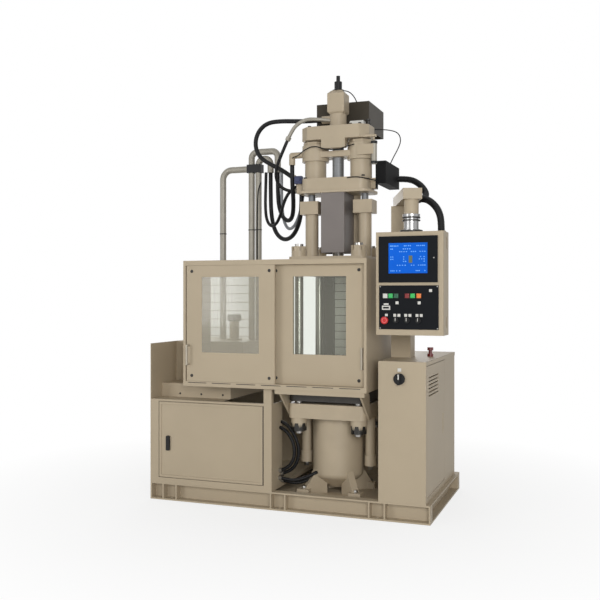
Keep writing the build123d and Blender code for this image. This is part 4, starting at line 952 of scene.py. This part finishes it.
grey_points = [
    (-0.236, 0.150, 1.985), (-0.236, 0.150, 1.860), (-0.233, 0.147, 1.750), (-0.214, 0.129, 1.655),
    (-0.171, 0.088, 1.597), (-0.117, 0.036, 1.597), (-0.068, -0.010, 1.640), (-0.034, -0.043, 1.705),
    (-0.014, -0.062, 1.784),
]
tall_points = [
    (-0.332, 0.128, 1.960), (-0.334, 0.124, 1.840), (-0.334, 0.120, 1.730), (-0.316, 0.100, 1.655),
    (-0.270, 0.058, 1.612), (-0.214, 0.010, 1.622), (-0.172, -0.022, 1.680), (-0.145, -0.044, 1.745),
    (-0.112, -0.060, 1.796), (-0.066, -0.070, 1.832), (-0.030, -0.074, 1.840),
]
drop_points = [
    (0.190, -0.150, 2.194), (0.120, -0.182, 2.200), (0.048, -0.190, 2.204), (-0.016, -0.190, 2.172),
    (-0.052, -0.190, 2.114), (-0.080, -0.190, 2.056), (-0.108, -0.186, 2.000), (-0.138, -0.172, 1.945),
    (-0.157, -0.146, 1.893), (-0.152, -0.117, 1.845), (-0.117, -0.094, 1.815), (-0.072, -0.080, 1.806),
    (-0.050, -0.078, 1.806),
]


def loose_line(name, points, diameter, made, *bodies):
    """Hose or cable that rides on one body, or is left unattached in place when two are given."""
    steps = even_steps(centre_line(name, points), diameter / 2)
    piece = hose_mesh(name, steps, lambda index: diameter / 2, made)
    if len(bodies) == 1:
        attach(piece, bodies[0])
    else:
        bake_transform(piece)
    return piece


loose_line("encoder_cable", encoder_points, cable, rubber, "head")
loose_line("yoke_cable", yoke_points, cable, rubber, "unit")
loose_line("base_cable", base_points, cable, rubber, "unit")
loose_line("hood_cable", hood_points, cable, rubber, "unit", "head")
loose_line("pipe_cable", pipe_points, thick_cable, rubber, "frame")
for hose_name, hose_points in bay_routes.items():
    loose_line(hose_name, hose_points, slim_hose, rubber, "frame")
union_x = -0.0598
union = ring_profile(slim_bore, 0.015, 0.016, 0.002)
union_places = ((-0.302, 0.178), (-0.326, 0.200), (-0.330, 0.158), (-0.300, 0.140))
union_spots = [(union_x, y, z) for y, z in union_places]
turned("bay_unions", union_spots, (1, 0, 0), union, fastener, "frame", hex_sides, True)
jack_shift = 0.192
jack_fitting = hex_profile(0.015, 0.024)
jack_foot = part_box("lift_jacks")[0][2]
jack_spots = [(press_axis[0] + side * jack_shift, press_axis[1], jack_foot) for side in (-1, 1)]
turned("jack_fittings", jack_spots, (0, 0, -1), jack_fitting, fastener, "frame", hex_sides)
loose_line("grey_hose", grey_points, slim_hose, grey_rubber, "frame", "unit")
loose_line("tall_hose", tall_points, slim_hose, rubber, "frame", "unit")

# Hose from the motor's neck to the valve block, with a bent steel sleeve and a nut over its upper run
sleeve_foot = 2.090
sleeve_wall = 0.0012
sleeve_nut = ring_profile(slim_bore, 0.017, 0.022, 0.002)
nut_overlap = 0.012
tee_place = (-0.030, -0.078, 1.806)
tee_profile = [(0.018, 0), (0.018, 0.014), (0.0145, 0.016), (0.0145, 0.040), (slim_bore, 0.042)]
loose_line("drop_hose", drop_points, slim_hose, rubber, "head", "unit")
drop_line = even_steps(centre_line("sleeve", drop_points), slim_hose / 2)
sleeve_line = [spot for spot in drop_line if spot.z > sleeve_foot]
sleeve = hose_mesh("hose_sleeve", sleeve_line, lambda index: slim_hose / 2 + sleeve_wall, zinc)
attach(sleeve, "head")
nut_axis = (sleeve_line[-1] - sleeve_line[-2]).normalized()
nut_place = sleeve_line[-1] - nut_axis * nut_overlap
turned("sleeve_nut", [nut_place], nut_axis, sleeve_nut, zinc, "head", hex_sides, True)
turned("valve_tee", [tee_place], (-1, 0, 0), tee_profile, zinc, "unit", hex_sides)


# Stage: pale floor, soft lamps and the camera
def seen_rays(nodes, links):
    """Socket that is 1 for rays of the eye, straight, mirrored or let through, and 0 for those of light."""
    path = nodes.new("ShaderNodeLightPath")
    socket = path.outputs["Is Camera Ray"]
    for kind in ("Is Glossy Ray", "Is Transmission Ray"):
        larger = nodes.new("ShaderNodeMath")
        larger.operation = "MAXIMUM"
        links.new(socket, larger.inputs[0])
        links.new(path.outputs[kind], larger.inputs[1])
        socket = larger.outputs[0]
    return socket


def white_floor(near, far, near_share):
    """Pale floor that keeps the shadow near the machine and is plain white farther away, to the eye only."""
    made = bpy.data.materials.new("floor_white")
    made.use_nodes = True
    nodes, links = made.node_tree.nodes, made.node_tree.links
    nodes.clear()
    output = nodes.new("ShaderNodeOutputMaterial")
    matt = nodes.new("ShaderNodeBsdfDiffuse")
    matt.inputs["Color"].default_value = (*floor_grey, 1)
    bright = nodes.new("ShaderNodeEmission")
    bright.inputs["Strength"].default_value = 1.0
    mixed = nodes.new("ShaderNodeMixShader")
    place = nodes.new("ShaderNodeTexCoord")
    distance = nodes.new("ShaderNodeVectorMath")
    distance.operation = "LENGTH"
    fade = nodes.new("ShaderNodeMapRange")
    fade.inputs["From Min"].default_value = near
    fade.inputs["From Max"].default_value = far
    fade.inputs["To Min"].default_value = near_share
    fade.inputs["To Max"].default_value = 1.0
    share = nodes.new("ShaderNodeMath")
    share.operation = "MULTIPLY"
    links.new(place.outputs["Object"], distance.inputs[0])
    links.new(distance.outputs["Value"], fade.inputs["Value"])
    links.new(seen_rays(nodes, links), share.inputs[0])
    links.new(fade.outputs["Result"], share.inputs[1])
    links.new(share.outputs[0], mixed.inputs["Fac"])
    links.new(matt.outputs[0], mixed.inputs[1])
    links.new(bright.outputs[0], mixed.inputs[2])
    links.new(mixed.outputs[0], output.inputs["Surface"])
    return made


def lamp(name, place, size, power):
    """Large soft lamp aimed at the machine."""
    light = bpy.data.lights.new(name, "AREA")
    light.shape = "SQUARE"
    light.size = size
    light.energy = power
    holder = bpy.data.objects.new(name, light)
    holder.location = place
    holder.rotation_euler = (Vector(lamp_aim) - Vector(place)).to_track_quat("-Z", "Y").to_euler()
    bpy.context.collection.objects.link(holder)


floor_reach = 60
floor_fade = (0.7, 2.4)
floor_near_share = 0.78
world_light = 0.30
lamp_aim = (0.1, -0.1, 1.1)

# Lamps: place, width and power
lamps = {
    "key": ((2.7, -5.7, 1.9), 2.0, 176),
    "fill": ((-3.6, -5.2, 1.9), 2.2, 78),
    "side": ((5.2, -1.0, 1.8), 2.2, 7),
    "top": ((0.3, -1.4, 6.4), 3.0, 9),
    "rear": ((-1.8, 4.8, 2.6), 2.8, 90),
}

ground = bmesh.new()
bmesh.ops.create_grid(ground, x_segments=1, y_segments=1, size=floor_reach)
ground_mesh = bpy.data.meshes.new("ground")
ground.to_mesh(ground_mesh)
ground.free()
ground_mesh.materials.append(white_floor(*floor_fade, floor_near_share))
floor = bpy.data.objects.new("ground", ground_mesh)
bpy.context.collection.objects.link(floor)

world = bpy.data.worlds.new("studio")
bpy.context.scene.world = world
world.use_nodes = True
world_nodes, world_links = world.node_tree.nodes, world.node_tree.links
backdrop = world_nodes["Background"]
backdrop.inputs["Color"].default_value = (1.0, 1.0, 1.0, 1)
world_level = world_nodes.new("ShaderNodeMapRange")
world_level.inputs["To Min"].default_value = world_light
world_level.inputs["To Max"].default_value = 1.0
world_links.new(seen_rays(world_nodes, world_links), world_level.inputs["Value"])
world_links.new(world_level.outputs["Result"], backdrop.inputs["Strength"])

for lamp_name, (place, size, power) in lamps.items():
    lamp(lamp_name, place, size, power)

eye = bpy.data.cameras.new("eye")
eye.lens = camera_lens
eye.shift_y = horizon_offset / picture_size
camera = bpy.data.objects.new("eye", eye)
camera.location = camera_place
camera.rotation_euler = (math.pi / 2, 0, camera_turn)
bpy.context.collection.objects.link(camera)
bpy.context.scene.camera = camera
bpy.context.scene.view_settings.view_transform = "Standard"
